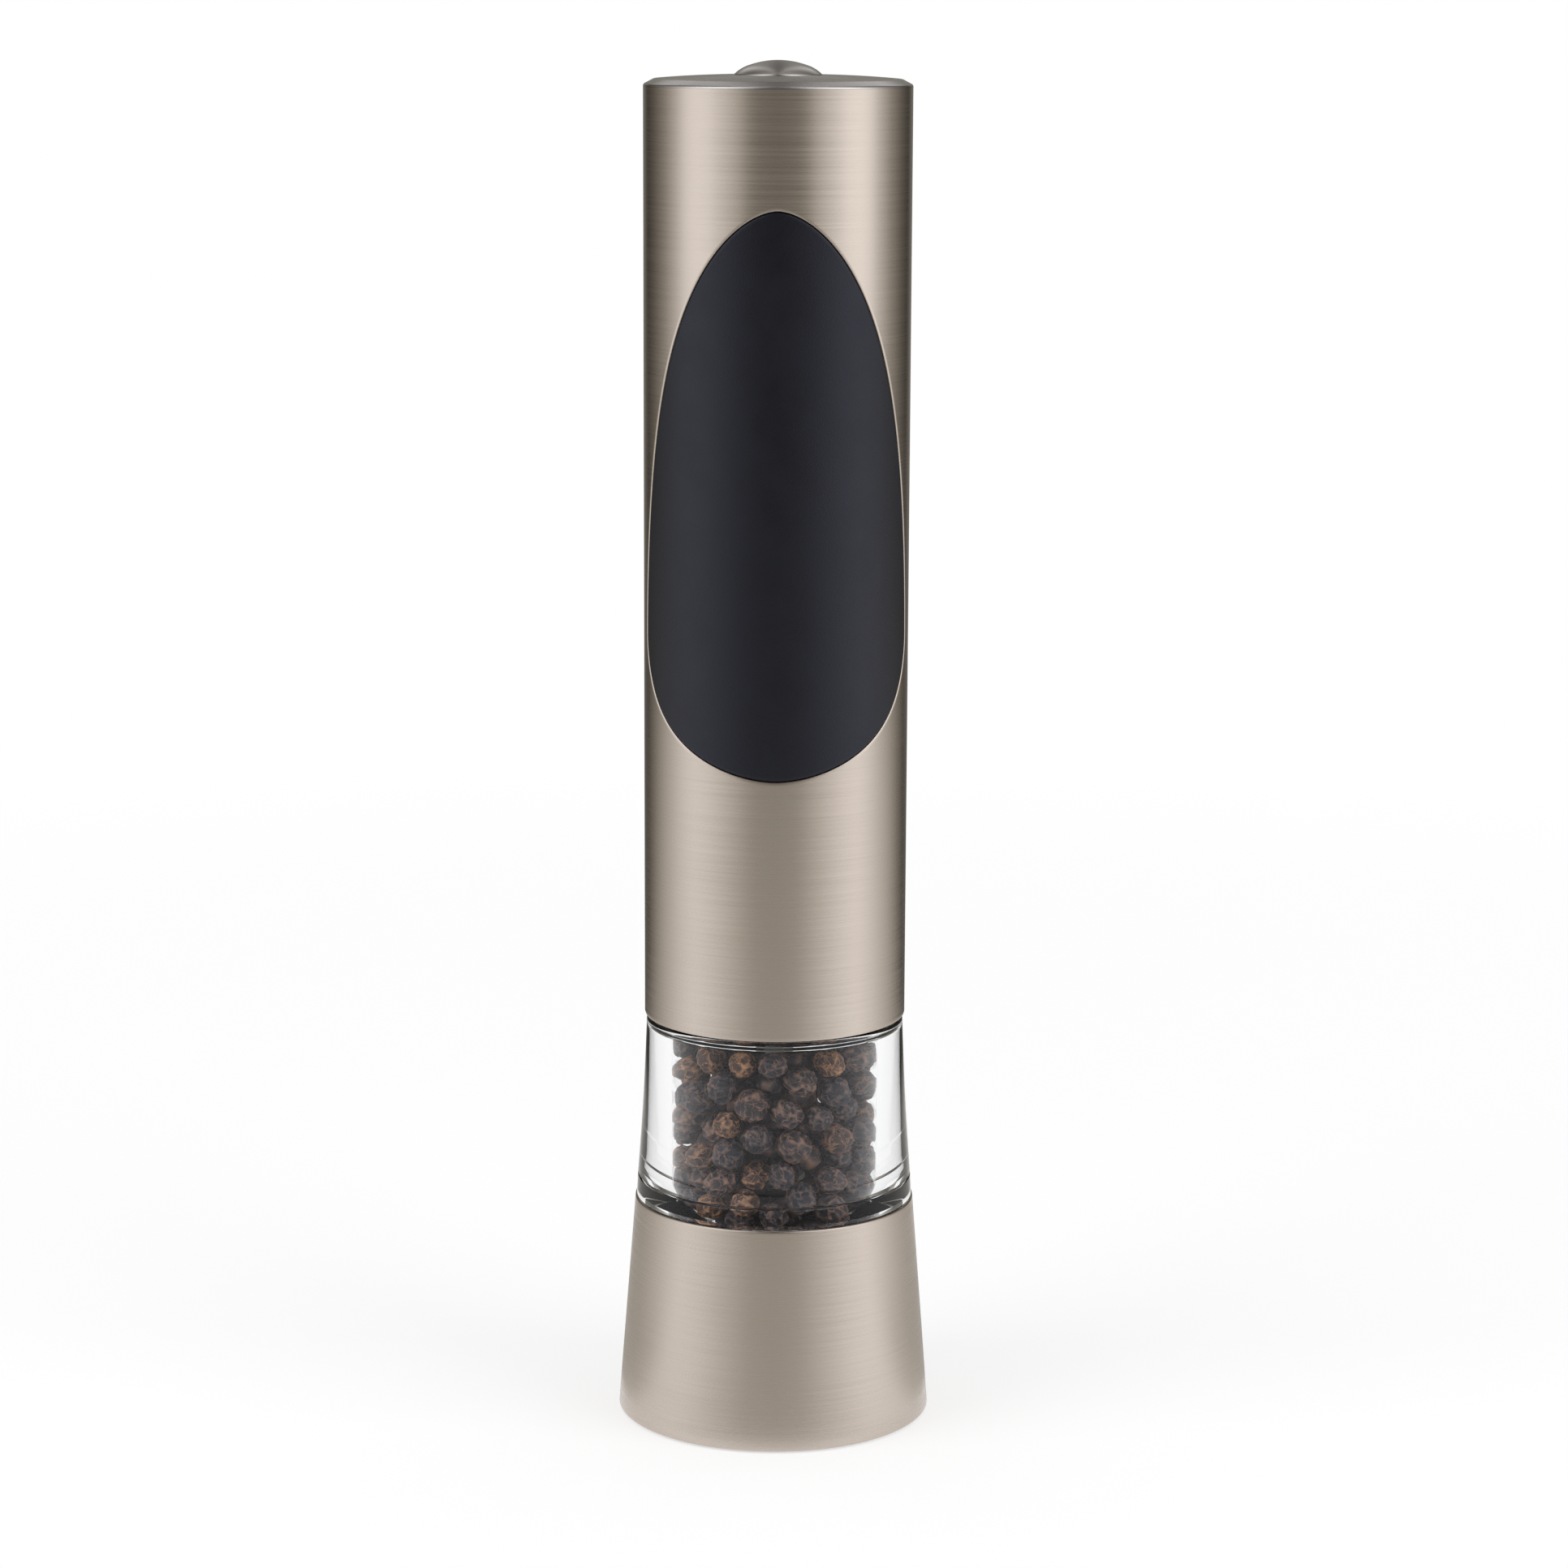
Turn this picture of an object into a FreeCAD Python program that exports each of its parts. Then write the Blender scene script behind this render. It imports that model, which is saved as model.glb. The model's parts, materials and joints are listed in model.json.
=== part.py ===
import FreeCAD, Part
import math
import os
import Sketcher
from FreeCAD import Placement, Rotation, Vector

# Driving dimensions: millimetres, counts, and angles in degrees
SIZES = {
    # Outside of the mill
    "height": 215.0,
    "base_radius": 25.0,
    "base_top_radius": 22.25,
    "base_low": 0.3,
    "base_top": 35.4,
    "steel_wall": 0.8,
    "edge_round": 0.4,
    "shell_radius": 20.7,
    "shell_low": 65.4,
    "shell_top": 211.0,
    "cap_seam": 0.08,
    "cap_rim_radius": 18.9,
    "cap_rim_top": 212.2,
    "cap_crown_top": 212.78,
    "cap_crown_curve": 150.0,
    "cap_skirt_low": 203.6,
    # Grip panel, an egg shape wrapped round the shell
    "grip_middle": 127.0,
    "grip_rise": 66.1,
    "grip_drop": 20.6,
    "grip_half_arc": 27.3,
    "grip_roundness": 1.76,
    "grip_gap": 0.14,
    # Liner behind the steel
    "liner_gap": 0.1,
    "liner_wall": 0.9,
    "liner_low": 66.6,
    "liner_top": 203.3,
    # Button
    "button_radius": 7.0,
    "button_gap": 0.2,
    "button_edge": 212.49,
    "button_crown_curve": 11.1,
    "button_edge_curve": 6.0,
    "button_flat_radius": 0.4,
    "button_crown_radius": 4.5,
    "button_crown_edge": 214.209,
    "button_skirt_low": 208.4,
    "button_wall": 0.8,
    "button_roof": 211.6,
    "button_flange_radius": 8.3,
    "button_flange_low": 206.9,
    "button_flange_top": 208.3,
    "button_stem_radius": 2.2,
    "button_stem_low": 203.1,
    "guide_top": 211.4,
    "guide_stop": 208.5,
    "guide_radius": 10.4,
    "guide_wall": 1.2,
    "guide_floor_low": 201.7,
    "guide_floor_top": 202.6,
    "guide_hole_radius": 3.2,
    # Chamber
    "bore_radius": 16.7,
    "bore_low": 36.0,
    "bore_top": 63.2,
    "funnel_radius": 11.2,
    "neck_bore_radius": 14.6,
    "neck_bore_low": 65.6,
    "chamber_low": 26.0,
    "spigot_radius": 19.6,
    "chamber_foot": 35.6,
    "band_radius": 22.05,
    "band_top": 38.9,
    "band_top_radius": 21.87,
    "groove_depth": 0.2,
    "groove_half": 0.2,
    "flare_curve": 700.0,
    "shoulder_radius": 20.4,
    "shoulder_low": 64.3,
    "shoulder_round": 0.9,
    "chamber_top": 65.2,
    "neck_radius": 16.6,
    "neck_top": 72.0,
    "neck_bevel": 0.5,
    "seal_level": 68.6,
    "seal_wire": 0.8,
    "seal_groove_radius": 15.6,
    "seal_groove_half": 0.95,
    # Base and grinder
    "foot_inner_radius": 22.0,
    "foot_outer_radius": 23.9,
    "foot_height": 2.2,
    "housing_low": 2.4,
    "housing_low_radius": 23.85,
    "housing_top": 34.0,
    "housing_top_radius": 21.35,
    "housing_wall": 1.85,
    "web_low": 14.5,
    "web_top": 18.0,
    "socket_radius": 19.95,
    "collar_radius": 15.4,
    "collar_low": 9.5,
    "collar_top": 25.6,
    "lip_radius": 11.4,
    "lip_low": 24.2,
    "burr_radius": 13.2,
    "burr_low": 9.6,
    "burr_top": 24.1,
    "burr_mouth_top": 10.4,
    "burr_waist_radius": 9.0,
    "burr_waist": 15.5,
    "burr_mouth_low": 10.1,
    "burr_tooth": 0.8,
    "burr_teeth": 20,
    "burr_twist": 12.0,
    "cone_low": 11.0,
    "cone_top": 26.0,
    "cone_low_radius": 9.3,
    "cone_top_radius": 5.6,
    "cone_tooth": 0.9,
    "cone_teeth": 14,
    "cone_twist": 40.0,
    "boss_circle": 17.8,
    "boss_radius": 2.7,
    "screw_hole_radius": 1.35,
    "bridge_low": 7.4,
    "bridge_top": 9.4,
    "bridge_arm_width": 6.0,
    "bridge_reach": 20.4,
    "bridge_rim_inner": 11.6,
    "bridge_rim_outer": 15.4,
    "hub_radius": 7.0,
    "hub_low": 4.8,
    "screw_shank_radius": 1.3,
    "screw_head_radius": 2.4,
    "screw_head_height": 1.7,
    "bridge_screw_top": 13.8,
    "screw_count": 3,
    "knob_radius": 9.5,
    "knob_low": 1.2,
    "knob_disc_low": 2.3,
    "knob_top": 4.6,
    "knob_bar_width": 4.4,
    "knob_flutes": 18,
    "knob_flute_radius": 0.7,
    "stud_radius": 2.5,
    "stud_low": 2.9,
    "stud_top": 6.3,
    "cup_flats": 9.0,
    "cup_low": 4.9,
    "cup_top": 10.9,
    "cup_thread_top": 7.2,
    "cup_pivot_low": 7.9,
    "running_gap": 0.05,
    "shaft_flats": 5.0,
    "shaft_low": 12.0,
    "shaft_top": 76.4,
    "pivot_radius": 1.5,
    "pivot_low": 8.8,
    "clip_low": 37.8,
    "clip_height": 0.8,
    "clip_radius": 5.0,
    "clip_bore_radius": 2.95,
    "cone_spring_radius": 3.7,
    "cone_spring_low": 26.1,
    "cone_spring_top": 37.7,
    "cone_spring_wire": 0.35,
    "cone_spring_turns": 5,
    # Peppercorns
    "corn_radius": 2.4,
    "corn_ring_radius": 14.15,
    "corn_ring_count": 17,
    "corn_layer": 4.3,
    "corn_low": 38.6,
    "corn_top": 60.2,
    "corn_inner_ring_radius": 9.1,
    "corn_inner_count": 11,
    "corn_inner_low": 34.3,
    # Drive unit
    "core_radius": 18.4,
    "coupling_low": 66.2,
    "coupling_skirt_radius": 17.25,
    "coupling_plug_radius": 14.2,
    "coupling_plug_low": 71.4,
    "coupling_roof": 72.6,
    "coupling_top": 76.0,
    "bush_radius": 6.0,
    "output_radius": 4.6,
    "output_low": 71.0,
    "socket_top": 77.0,
    # Gear train, two like stages in one ring
    "gear_module": 0.6,
    "ring_teeth": 48,
    "planet_teeth": 18,
    "sun_teeth": 12,
    "gear_addendum": 0.51,
    "gear_dedendum": 0.74,
    "gear_backlash": 0.07,
    "planet_count": 3,
    "planet_pin_radius": 1.5,
    "carrier_radius": 12.8,
    "carrier_wall": 2.3,
    "case_low": 76.1,
    "case_top": 92.5,
    "second_carrier_low": 76.9,
    "second_gear_low": 79.7,
    "second_gear_top": 84.1,
    "first_carrier_low": 85.0,
    "first_gear_low": 87.8,
    "first_gear_top": 91.4,
    "pin_sink": 1.6,
    "pin_stand": 0.4,
    "plate_top": 94.6,
    # Motor
    "motor_radius": 12.0,
    "motor_low": 94.7,
    "motor_top": 125.0,
    "motor_wall": 1.0,
    "motor_boss_radius": 3.5,
    "motor_boss_low": 92.8,
    "motor_shaft_radius": 1.15,
    "motor_shaft_low": 87.9,
    "motor_shaft_top": 126.6,
    "armature_radius": 8.2,
    "armature_low": 101.0,
    "armature_top": 117.0,
    "commutator_radius": 3.2,
    "commutator_top": 122.0,
    "magnet_inner_radius": 9.0,
    "magnet_outer_radius": 10.9,
    "magnet_low": 98.5,
    "magnet_top": 119.5,
    "magnet_angle": 120.0,
    "end_cap_top": 128.0,
    "end_cap_plug_low": 123.0,
    "terminal_place": 7.5,
    "terminal_width": 2.6,
    "terminal_thick": 0.5,
    "terminal_top": 133.0,
    "motor_screw_place": 8.0,
    # Core halves round the motor
    "core_low": 94.7,
    "core_top": 139.8,
    "core_wall": 1.6,
    "core_half_angle": 179.4,
    "rib_low": 100.0,
    "rib_high": 116.0,
    "rib_height": 2.0,
    "rib_gap": 0.1,
    "core_boss_place": 12.4,
    "core_boss_radius": 2.6,
    "core_boss_level": 134.5,
    "core_boss_reach": 10.0,
    "core_screw_seat": 9.0,
    "core_screw_tip": 7.0,
    "core_split": 0.1,
    # Battery carrier and cells
    "carrier_disc_low": 140.0,
    "carrier_floor": 143.0,
    "carrier_roof": 189.6,
    "carrier_disc_top": 192.4,
    "carrier_post_radius": 4.4,
    "carrier_fin_reach": 6.4,
    "carrier_fin_width": 1.2,
    "cell_count": 6,
    "cell_circle": 10.9,
    "cell_radius": 5.2,
    "cell_nub_radius": 1.9,
    "cell_nub": 0.9,
    "cell_low": 145.0,
    "cell_top": 188.3,
    "contact_thick": 0.25,
    "contact_width": 5.0,
    "contact_overrun": 2.2,
    "cell_spring_radius": 2.6,
    "cell_spring_wire": 0.22,
    "cell_spring_height": 1.55,
    "cell_spring_turns": 1,
    "cap_disc_low": 192.6,
    "cap_disc_top": 196.0,
    "switch_low": 196.1,
    "switch_top": 200.9,
    "switch_side": 12.0,
    "switch_well_low": 197.1,
    "plunger_radius": 2.0,
    "plunger_low": 198.6,
    "plunger_top": 203.0,
    "button_spring_radius": 5.4,
    "button_spring_wire": 0.35,
    "button_spring_turns": 2,
}

document = FreeCAD.newDocument("pepper_mill")
sheet = document.addObject("Spreadsheet::Sheet", "Sizes")
for row, (alias, value) in enumerate(SIZES.items(), start=1):
    sheet.set(f"A{row}", alias)
    sheet.set(f"B{row}", str(value))
    sheet.setAlias(f"B{row}", alias)
document.recompute()

subparts = {}


class Size:
    """A size with its number and the sheet formula that gives it."""

    def __init__(self, number, formula):
        self.number = float(number)
        self.formula = formula

    def __add__(self, other):
        other = as_size(other)
        return Size(self.number + other.number, f"({self.formula} + {other.formula})")

    def __sub__(self, other):
        other = as_size(other)
        return Size(self.number - other.number, f"({self.formula} - {other.formula})")

    def __mul__(self, other):
        other = as_size(other)
        return Size(self.number * other.number, f"({self.formula} * {other.formula})")

    def __truediv__(self, other):
        other = as_size(other)
        return Size(self.number / other.number, f"({self.formula} / {other.formula})")

    def __neg__(self):
        return Size(-self.number, f"(-1 * {self.formula})")


class SheetSizes:
    """Gives each driving dimension of the sheet by its name."""

    def __getattr__(self, alias):
        return Size(SIZES[alias], f"Sizes.{alias}")


def as_size(value):
    return value if isinstance(value, Size) else Size(value, repr(float(value)))


S = SheetSizes()


def bind(thing, path, size):
    """Ties one property of an object to the sheet."""
    thing.setExpression(path, as_size(size).formula)


def keep(name, thing):
    """Makes an object one of the mill's sub-parts."""
    thing.Label = name
    subparts[name] = thing
    return thing


# Sketches and their features

def new_body(name):
    return document.addObject("PartDesign::Body", f"{name}_body")


def new_sketch(body, role, level=None):
    """A sketch on one of the body's own planes, moved along the plane's normal to a level."""
    plane = next(feature for feature in body.Origin.OriginFeatures if feature.Role == role)
    sketch = body.newObject("Sketcher::SketchObject", f"{body.Name}_sketch")
    sketch.AttachmentSupport = [(plane, "")]
    sketch.MapMode = "FlatFace"
    if level is not None:
        bind(sketch, "AttachmentOffset.Base.z", level)
    return sketch


def constrain(sketch, kind, *places, size):
    size = as_size(size)
    index = sketch.addConstraint(Sketcher.Constraint(kind, *places, size.number))
    bind(sketch, f"Constraints[{index}]", size)


def place_point(sketch, geometry, point, across, up):
    """Fixes a point of a sketch at its two coordinates."""
    for kind, axis, size in (("DistanceX", -2, as_size(across)), ("DistanceY", -1, as_size(up))):
        if size.number == 0:
            sketch.addConstraint(Sketcher.Constraint("PointOnObject", geometry, point, axis))
        else:
            constrain(sketch, kind, -1, 1, geometry, point, size=size)


def arc_between(start, end, radius):
    """An arc that turns left for a positive radius and right for a negative one."""
    chord = end - start
    half = chord.Length / 2
    left = Vector(-chord.y, chord.x, 0).normalize()
    rise = math.sqrt(radius * radius - half * half)
    centre = (start + end) * 0.5 + left * math.copysign(rise, radius)
    circle = Part.Circle(centre, Vector(0, 0, 1), abs(radius))
    first, last = (start, end) if radius > 0 else (end, start)
    return Part.ArcOfCircle(circle, circle.parameter(first), circle.parameter(last))


def outline(sketch, corners):
    """A closed outline. A corner is (across, up), or (across, up, radius) where an arc follows it."""
    spots = [Vector(as_size(corner[0]).number, as_size(corner[1]).number, 0) for corner in corners]
    edges = []
    for index, corner in enumerate(corners):
        start = spots[index]
        end = spots[(index + 1) % len(spots)]
        if len(corner) == 3:
            radius = as_size(corner[2])
            geometry = sketch.addGeometry(arc_between(start, end, radius.number), False)
            ends = (1, 2) if radius.number > 0 else (2, 1)
            edges.append((geometry, *ends))
        else:
            edges.append((sketch.addGeometry(Part.LineSegment(start, end), False), 1, 2))
    for index, (geometry, first, last) in enumerate(edges):
        following = edges[(index + 1) % len(edges)]
        sketch.addConstraint(Sketcher.Constraint("Coincident", geometry, last, following[0], following[1]))
        place_point(sketch, geometry, first, corners[index][0], corners[index][1])
        if len(corners[index]) == 3:
            radius = as_size(corners[index][2])
            constrain(sketch, "Radius", geometry, size=radius if radius.number > 0 else -radius)


def rectangle(sketch, left, right, low, high):
    outline(sketch, [(left, low), (right, low), (right, high), (left, high)])


def circle(sketch, across, up, radius):
    spot = Vector(as_size(across).number, as_size(up).number, 0)
    shape = Part.Circle(spot, Vector(0, 0, 1), as_size(radius).number)
    geometry = sketch.addGeometry(shape, False)
    place_point(sketch, geometry, 3, across, up)
    constrain(sketch, "Radius", geometry, size=radius)


def feature(body, kind, sketch, **settings):
    """Adds one feature to a body. Sizes are tied to the sheet and other settings are set as they are."""
    made = body.newObject(f"PartDesign::{kind}", f"{body.Name}_{kind}")
    made.Profile = sketch
    for name, setting in settings.items():
        if isinstance(setting, Size):
            bind(made, name, setting)
        else:
            setattr(made, name, setting)
    document.recompute()
    return made


def around(body, features, sketch, axis, count, angle=360):
    """Repeats features round the mill's axis."""
    pattern = body.newObject("PartDesign::PolarPattern", f"{body.Name}_pattern")
    pattern.Originals = features
    pattern.Axis = (sketch, [axis])
    pattern.Angle = angle
    bind(pattern, "Occurrences", count)
    body.Tip = pattern
    document.recompute()
    return pattern


def turn(body, corners, axis_place=None, **settings):
    """Turns an outline about the mill's axis, or about a line beside it."""
    sketch = new_sketch(body, "XZ_Plane")
    axis = "V_Axis"
    if axis_place is not None:
        low = Vector(axis_place.number, 0, 0)
        high = Vector(axis_place.number, SIZES["height"], 0)
        line = sketch.addGeometry(Part.LineSegment(low, high), True)
        place_point(sketch, line, 1, axis_place, 0)
        place_point(sketch, line, 2, axis_place, S.height)
        axis = "Axis0"
    outline(sketch, corners)
    return feature(body, "Revolution", sketch, ReferenceAxis=(sketch, [axis]), **settings), sketch


def turned(name, corners):
    """A sub-part that is turned whole from one outline."""
    body = new_body(name)
    turn(body, corners)
    return keep(name, body)


def pad(body, level, length, draw, role="XY_Plane"):
    sketch = new_sketch(body, role, level)
    draw(sketch)
    return feature(body, "Pad", sketch, Length=length), sketch


def pocket(body, level, depth, draw, role="XY_Plane"):
    """Cuts down from a level and makes sure that something was cut."""
    before = body.Shape.Volume
    sketch = new_sketch(body, role, level)
    draw(sketch)
    made = feature(body, "Pocket", sketch, Length=depth)
    if body.Shape.Volume >= before:
        raise RuntimeError(f"{body.Name}: the pocket cuts nothing")
    return made, sketch


# Primitives and booleans

def cylinder(name, radius, low, high):
    made = document.addObject("Part::Cylinder", name)
    bind(made, "Radius", radius)
    bind(made, "Height", high - low)
    bind(made, "Placement.Base.z", low)
    return made


def hexagon(name, flats, low, high):
    made = document.addObject("Part::Prism", name)
    made.Polygon = 6
    bind(made, "Circumradius", flats / math.sqrt(3))
    bind(made, "Height", high - low)
    bind(made, "Placement.Base.z", low)
    return made


def join(kind, name, base, tool):
    """Cuts, fuses or intersects two objects."""
    made = document.addObject(f"Part::{kind}", name)
    made.Base = base
    made.Tool = tool
    return made


def plain(name, shape):
    """An object whose shape is worked out below from the sheet's sizes."""
    made = document.addObject("Part::Feature", name)
    made.Shape = shape
    return made


# Wound springs

def biarc_edges(start, start_way, end, end_way):
    """Two arcs that meet smoothly and leave both ends along the given directions."""
    chord = end - start
    ways = start_way + end_way
    bend = 2 * (1 - start_way.dot(end_way))
    along = chord.dot(ways)
    reach = (math.sqrt(along * along + bend * chord.dot(chord)) - along) / bend
    corner_first = start + start_way * reach
    corner_last = end - end_way * reach
    middle = (corner_first + corner_last) * 0.5
    edges = []
    for first, corner, last in ((start, corner_first, middle), (middle, corner_last, end)):
        centre = (first + last) * 0.5
        half = (last - first).Length / 2
        slope = math.acos(half / (corner - first).Length)
        crest = centre + (corner - centre).normalize() * (half * math.tan(slope / 2))
        edges.append(Part.Arc(first, crest, last).toShape())
    return edges


def spring_shape(name, radius, wire, low, high, turns, place=0.0):
    """One unbroken coil of round wire, standing between two levels."""
    rise = (high - low - 2 * wire) / turns
    climb = rise / (2 * math.pi)

    def spot(angle):
        level = low + wire + climb * angle
        return Vector(place + radius * math.cos(angle), radius * math.sin(angle), level)

    def way(angle):
        return Vector(-radius * math.sin(angle), radius * math.cos(angle), climb).normalize()

    quarters = round(turns * 4)
    edges = []
    for quarter in range(quarters):
        first = quarter * math.pi / 2
        last = first + math.pi / 2
        edges += biarc_edges(spot(first), way(first), spot(last), way(last))
    path = Part.Wire(edges)
    section = Part.Wire([Part.Circle(spot(0), way(0), wire).toShape()])
    print(f"{name}: least gap to itself {coil_gap(path, wire):.2f} mm")
    return path.makePipeShell([section], True, False)


def coil_gap(path, wire):
    """The least gap between a coil's turns, measured on points more than half a turn apart."""
    points = path.discretize(Number=16 * len(path.Edges))
    apart = 4 * 16
    pairs = ((first, last) for index, first in enumerate(points) for last in points[index + apart:])
    return min((last - first).Length for first, last in pairs) - 2 * wire


# Gears

def involute(angle):
    return math.tan(angle) - angle


def tooth_half_angle(teeth, radius, widen):
    """Half of the angle that an involute tooth spans at a radius."""
    pressure = math.radians(20)
    pitch = teeth * SIZES["gear_module"] / 2
    base = pitch * math.cos(pressure)
    there = math.acos(min(1.0, base / radius))
    return math.pi / (2 * teeth) + widen / (2 * pitch) + involute(pressure) - involute(there)


def toothed_face(teeth, root, tip, widen, start):
    """A flat toothed outline, with a tooth centred at the start angle."""
    radii = [root + (tip - root) * step / 4 for step in range(5)]
    corners = []
    for tooth in range(teeth):
        middle = start + 2 * math.pi * tooth / teeth
        flank = [(radius, tooth_half_angle(teeth, radius, widen)) for radius in radii]
        side = [(radius, middle - half) for radius, half in flank]
        side += [(radius, middle + half) for radius, half in reversed(flank)]
        corners += [Vector(radius * math.cos(at), radius * math.sin(at), 0) for radius, at in side]
    return Part.Face(Part.makePolygon(corners + corners[:1]))


def gear_shape(teeth, low, high, bore, start):
    """A spur gear with a bore, standing on the mill's axis."""
    pitch = teeth * SIZES["gear_module"] / 2
    face = toothed_face(teeth, pitch - SIZES["gear_dedendum"], pitch + SIZES["gear_addendum"],
                        -SIZES["gear_backlash"], start)
    gear = face.extrude(Vector(0, 0, high - low))
    gear.translate(Vector(0, 0, low))
    if bore:
        gear = gear.cut(Part.makeCylinder(bore, high - low, Vector(0, 0, low)))
    return gear


def planet_place(number):
    """The spot and the turn of one planet round the sun."""
    distance = (SIZES["sun_teeth"] + SIZES["planet_teeth"]) * SIZES["gear_module"] / 2
    turn_angle = 360 * (number - 1) / SIZES["planet_count"]
    spin = Rotation(Vector(0, 0, 1), turn_angle)
    return Placement(spin.multVec(Vector(distance, 0, 0)), spin)


# Base

def make_base_sleeve():
    slope = (S.base_radius - S.base_top_radius) / (S.base_top - S.base_low)
    bend = S.base_top - S.edge_round
    bend_radius = S.base_top_radius + slope * S.edge_round
    turned("base_sleeve", [
        (S.base_radius, S.base_low),
        (bend_radius, bend, S.edge_round),
        (bend_radius - S.edge_round, S.base_top),
        (S.base_top_radius - S.steel_wall, S.base_top),
        (S.base_radius - S.steel_wall, S.base_low),
    ])


def make_foot_ring():
    bevel = S.base_low
    turned("foot_ring", [
        (S.foot_inner_radius, 0),
        (S.foot_outer_radius - bevel, 0),
        (S.foot_outer_radius, bevel),
        (S.foot_outer_radius, S.foot_height),
        (S.foot_inner_radius, S.foot_height),
    ])


def make_grinder_housing():
    body = new_body("grinder_housing")
    recess_radius = S.housing_low_radius - S.housing_wall
    turn(body, [
        (S.housing_low_radius, S.housing_low),
        (S.housing_top_radius, S.housing_top),
        (S.socket_radius, S.housing_top),
        (S.socket_radius, S.web_top),
        (S.collar_radius, S.web_top),
        (S.collar_radius, S.collar_top),
        (S.lip_radius, S.collar_top),
        (S.lip_radius, S.lip_low),
        (S.burr_radius + S.liner_gap, S.lip_low),
        (S.burr_radius + S.liner_gap, S.collar_low),
        (S.collar_radius, S.collar_low),
        (S.collar_radius, S.web_low),
        (recess_radius - S.housing_wall / 2, S.web_low),
        (recess_radius, S.housing_low),
    ])
    boss, sketch = pad(body, S.collar_low, S.web_low + 1 - S.collar_low,
                       lambda s: circle(s, S.boss_circle, 0, S.boss_radius))
    around(body, [boss], sketch, "N_Axis", S.screw_count)
    hole = new_sketch(body, "XY_Plane", S.collar_low)
    circle(hole, S.boss_circle, 0, S.screw_hole_radius)
    drilled = feature(body, "Pocket", hole, Length=S.web_low - S.collar_low, Reversed=True)
    around(body, [drilled], hole, "N_Axis", S.screw_count)
    keep("grinder_housing", body)


def make_chamber():
    flare_low = S.band_top + S.groove_half
    turned("pepper_chamber", [
        (S.funnel_radius, S.chamber_low),
        (S.spigot_radius, S.chamber_low),
        (S.spigot_radius, S.chamber_foot),
        (S.band_radius, S.chamber_foot),
        (S.band_top_radius, S.band_top - S.groove_half),
        (S.band_top_radius - S.groove_depth, S.band_top),
        (S.band_top_radius, flare_low, -S.flare_curve),
        (S.shoulder_radius, S.shoulder_low, S.shoulder_round),
        (S.shoulder_radius - S.shoulder_round, S.chamber_top),
        (S.neck_radius, S.chamber_top),
        (S.neck_radius, S.seal_level - S.seal_groove_half),
        (S.seal_groove_radius, S.seal_level - S.seal_groove_half),
        (S.seal_groove_radius, S.seal_level + S.seal_groove_half),
        (S.neck_radius, S.seal_level + S.seal_groove_half),
        (S.neck_radius, S.neck_top - S.neck_bevel),
        (S.neck_radius - S.neck_bevel, S.neck_top),
        (S.neck_bore_radius, S.neck_top),
        (S.neck_bore_radius, S.neck_bore_low),
        (S.bore_radius, S.bore_top),
        (S.bore_radius, S.bore_low),
    ])


def make_neck_seal():
    seal = document.addObject("Part::Torus", "neck_seal_torus")
    bind(seal, "Radius1", S.seal_groove_radius + S.seal_wire)
    bind(seal, "Radius2", S.seal_wire - S.running_gap)
    bind(seal, "Placement.Base.z", S.seal_level)
    keep("neck_seal", seal)


# Grinder

def star_wire(radius, depth, count, level, turn_angle):
    """A closed star outline whose points reach the radius."""
    corners = []
    for step in range(2 * count):
        reach = radius - (depth if step % 2 else 0.0)
        at = math.radians(turn_angle) + math.pi * step / count
        corners.append(Vector(reach * math.cos(at), reach * math.sin(at), level))
    return Part.makePolygon(corners + corners[:1])


def make_ceramic_ring():
    levels = [("burr_mouth_low", "burr_low", 0.0), ("burr_waist_radius", "burr_waist", 0.5),
              ("burr_mouth_top", "burr_top", 1.0)]
    stars = [star_wire(SIZES[radius] + SIZES["burr_tooth"], SIZES["burr_tooth"], SIZES["burr_teeth"],
                       SIZES[level], SIZES["burr_twist"] * share) for radius, level, share in levels]
    mouth = plain("burr_mouth", Part.makeLoft(stars, True, True))
    blank = cylinder("burr_blank", S.burr_radius, S.burr_low, S.burr_top)
    keep("ceramic_ring", join("Cut", "burr_cut", blank, mouth))


def make_ceramic_cone():
    low = star_wire(SIZES["cone_low_radius"], SIZES["cone_tooth"], SIZES["cone_teeth"],
                    SIZES["cone_low"], 0)
    top = star_wire(SIZES["cone_top_radius"], SIZES["cone_tooth"], SIZES["cone_teeth"],
                    SIZES["cone_top"], SIZES["cone_twist"])
    cone = plain("cone_blank", Part.makeLoft([low, top], True, True))
    hole = hexagon("cone_hole", S.shaft_flats + S.running_gap * 4, S.cone_low, S.cone_top)
    keep("ceramic_cone", join("Cut", "cone_cut", cone, hole))


def make_bridge():
    body = new_body("grinder_bridge")
    arm, sketch = pad(body, S.bridge_low, S.bridge_top - S.bridge_low,
                      lambda s: rectangle(s, 0, S.bridge_reach, -S.bridge_arm_width / 2,
                                          S.bridge_arm_width / 2))
    around(body, [arm], sketch, "N_Axis", S.screw_count)
    turn(body, [
        (S.bridge_rim_inner, S.bridge_low),
        (S.bridge_rim_outer, S.bridge_low),
        (S.bridge_rim_outer, S.bridge_top),
        (S.bridge_rim_inner, S.bridge_top),
    ])
    turn(body, [(0, S.hub_low), (S.hub_radius, S.hub_low), (S.hub_radius, S.bridge_top), (0, S.bridge_top)])
    hole, hole_sketch = pocket(body, S.bridge_top, S.bridge_top - S.bridge_low,
                               lambda s: circle(s, S.boss_circle, 0, S.screw_hole_radius))
    around(body, [hole], hole_sketch, "N_Axis", S.screw_count)
    key = hexagon("bridge_key", S.cup_flats + S.running_gap * 4, S.hub_low, S.bridge_top)
    keep("grinder_bridge", join("Cut", "bridge_cut", body, key))


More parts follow.
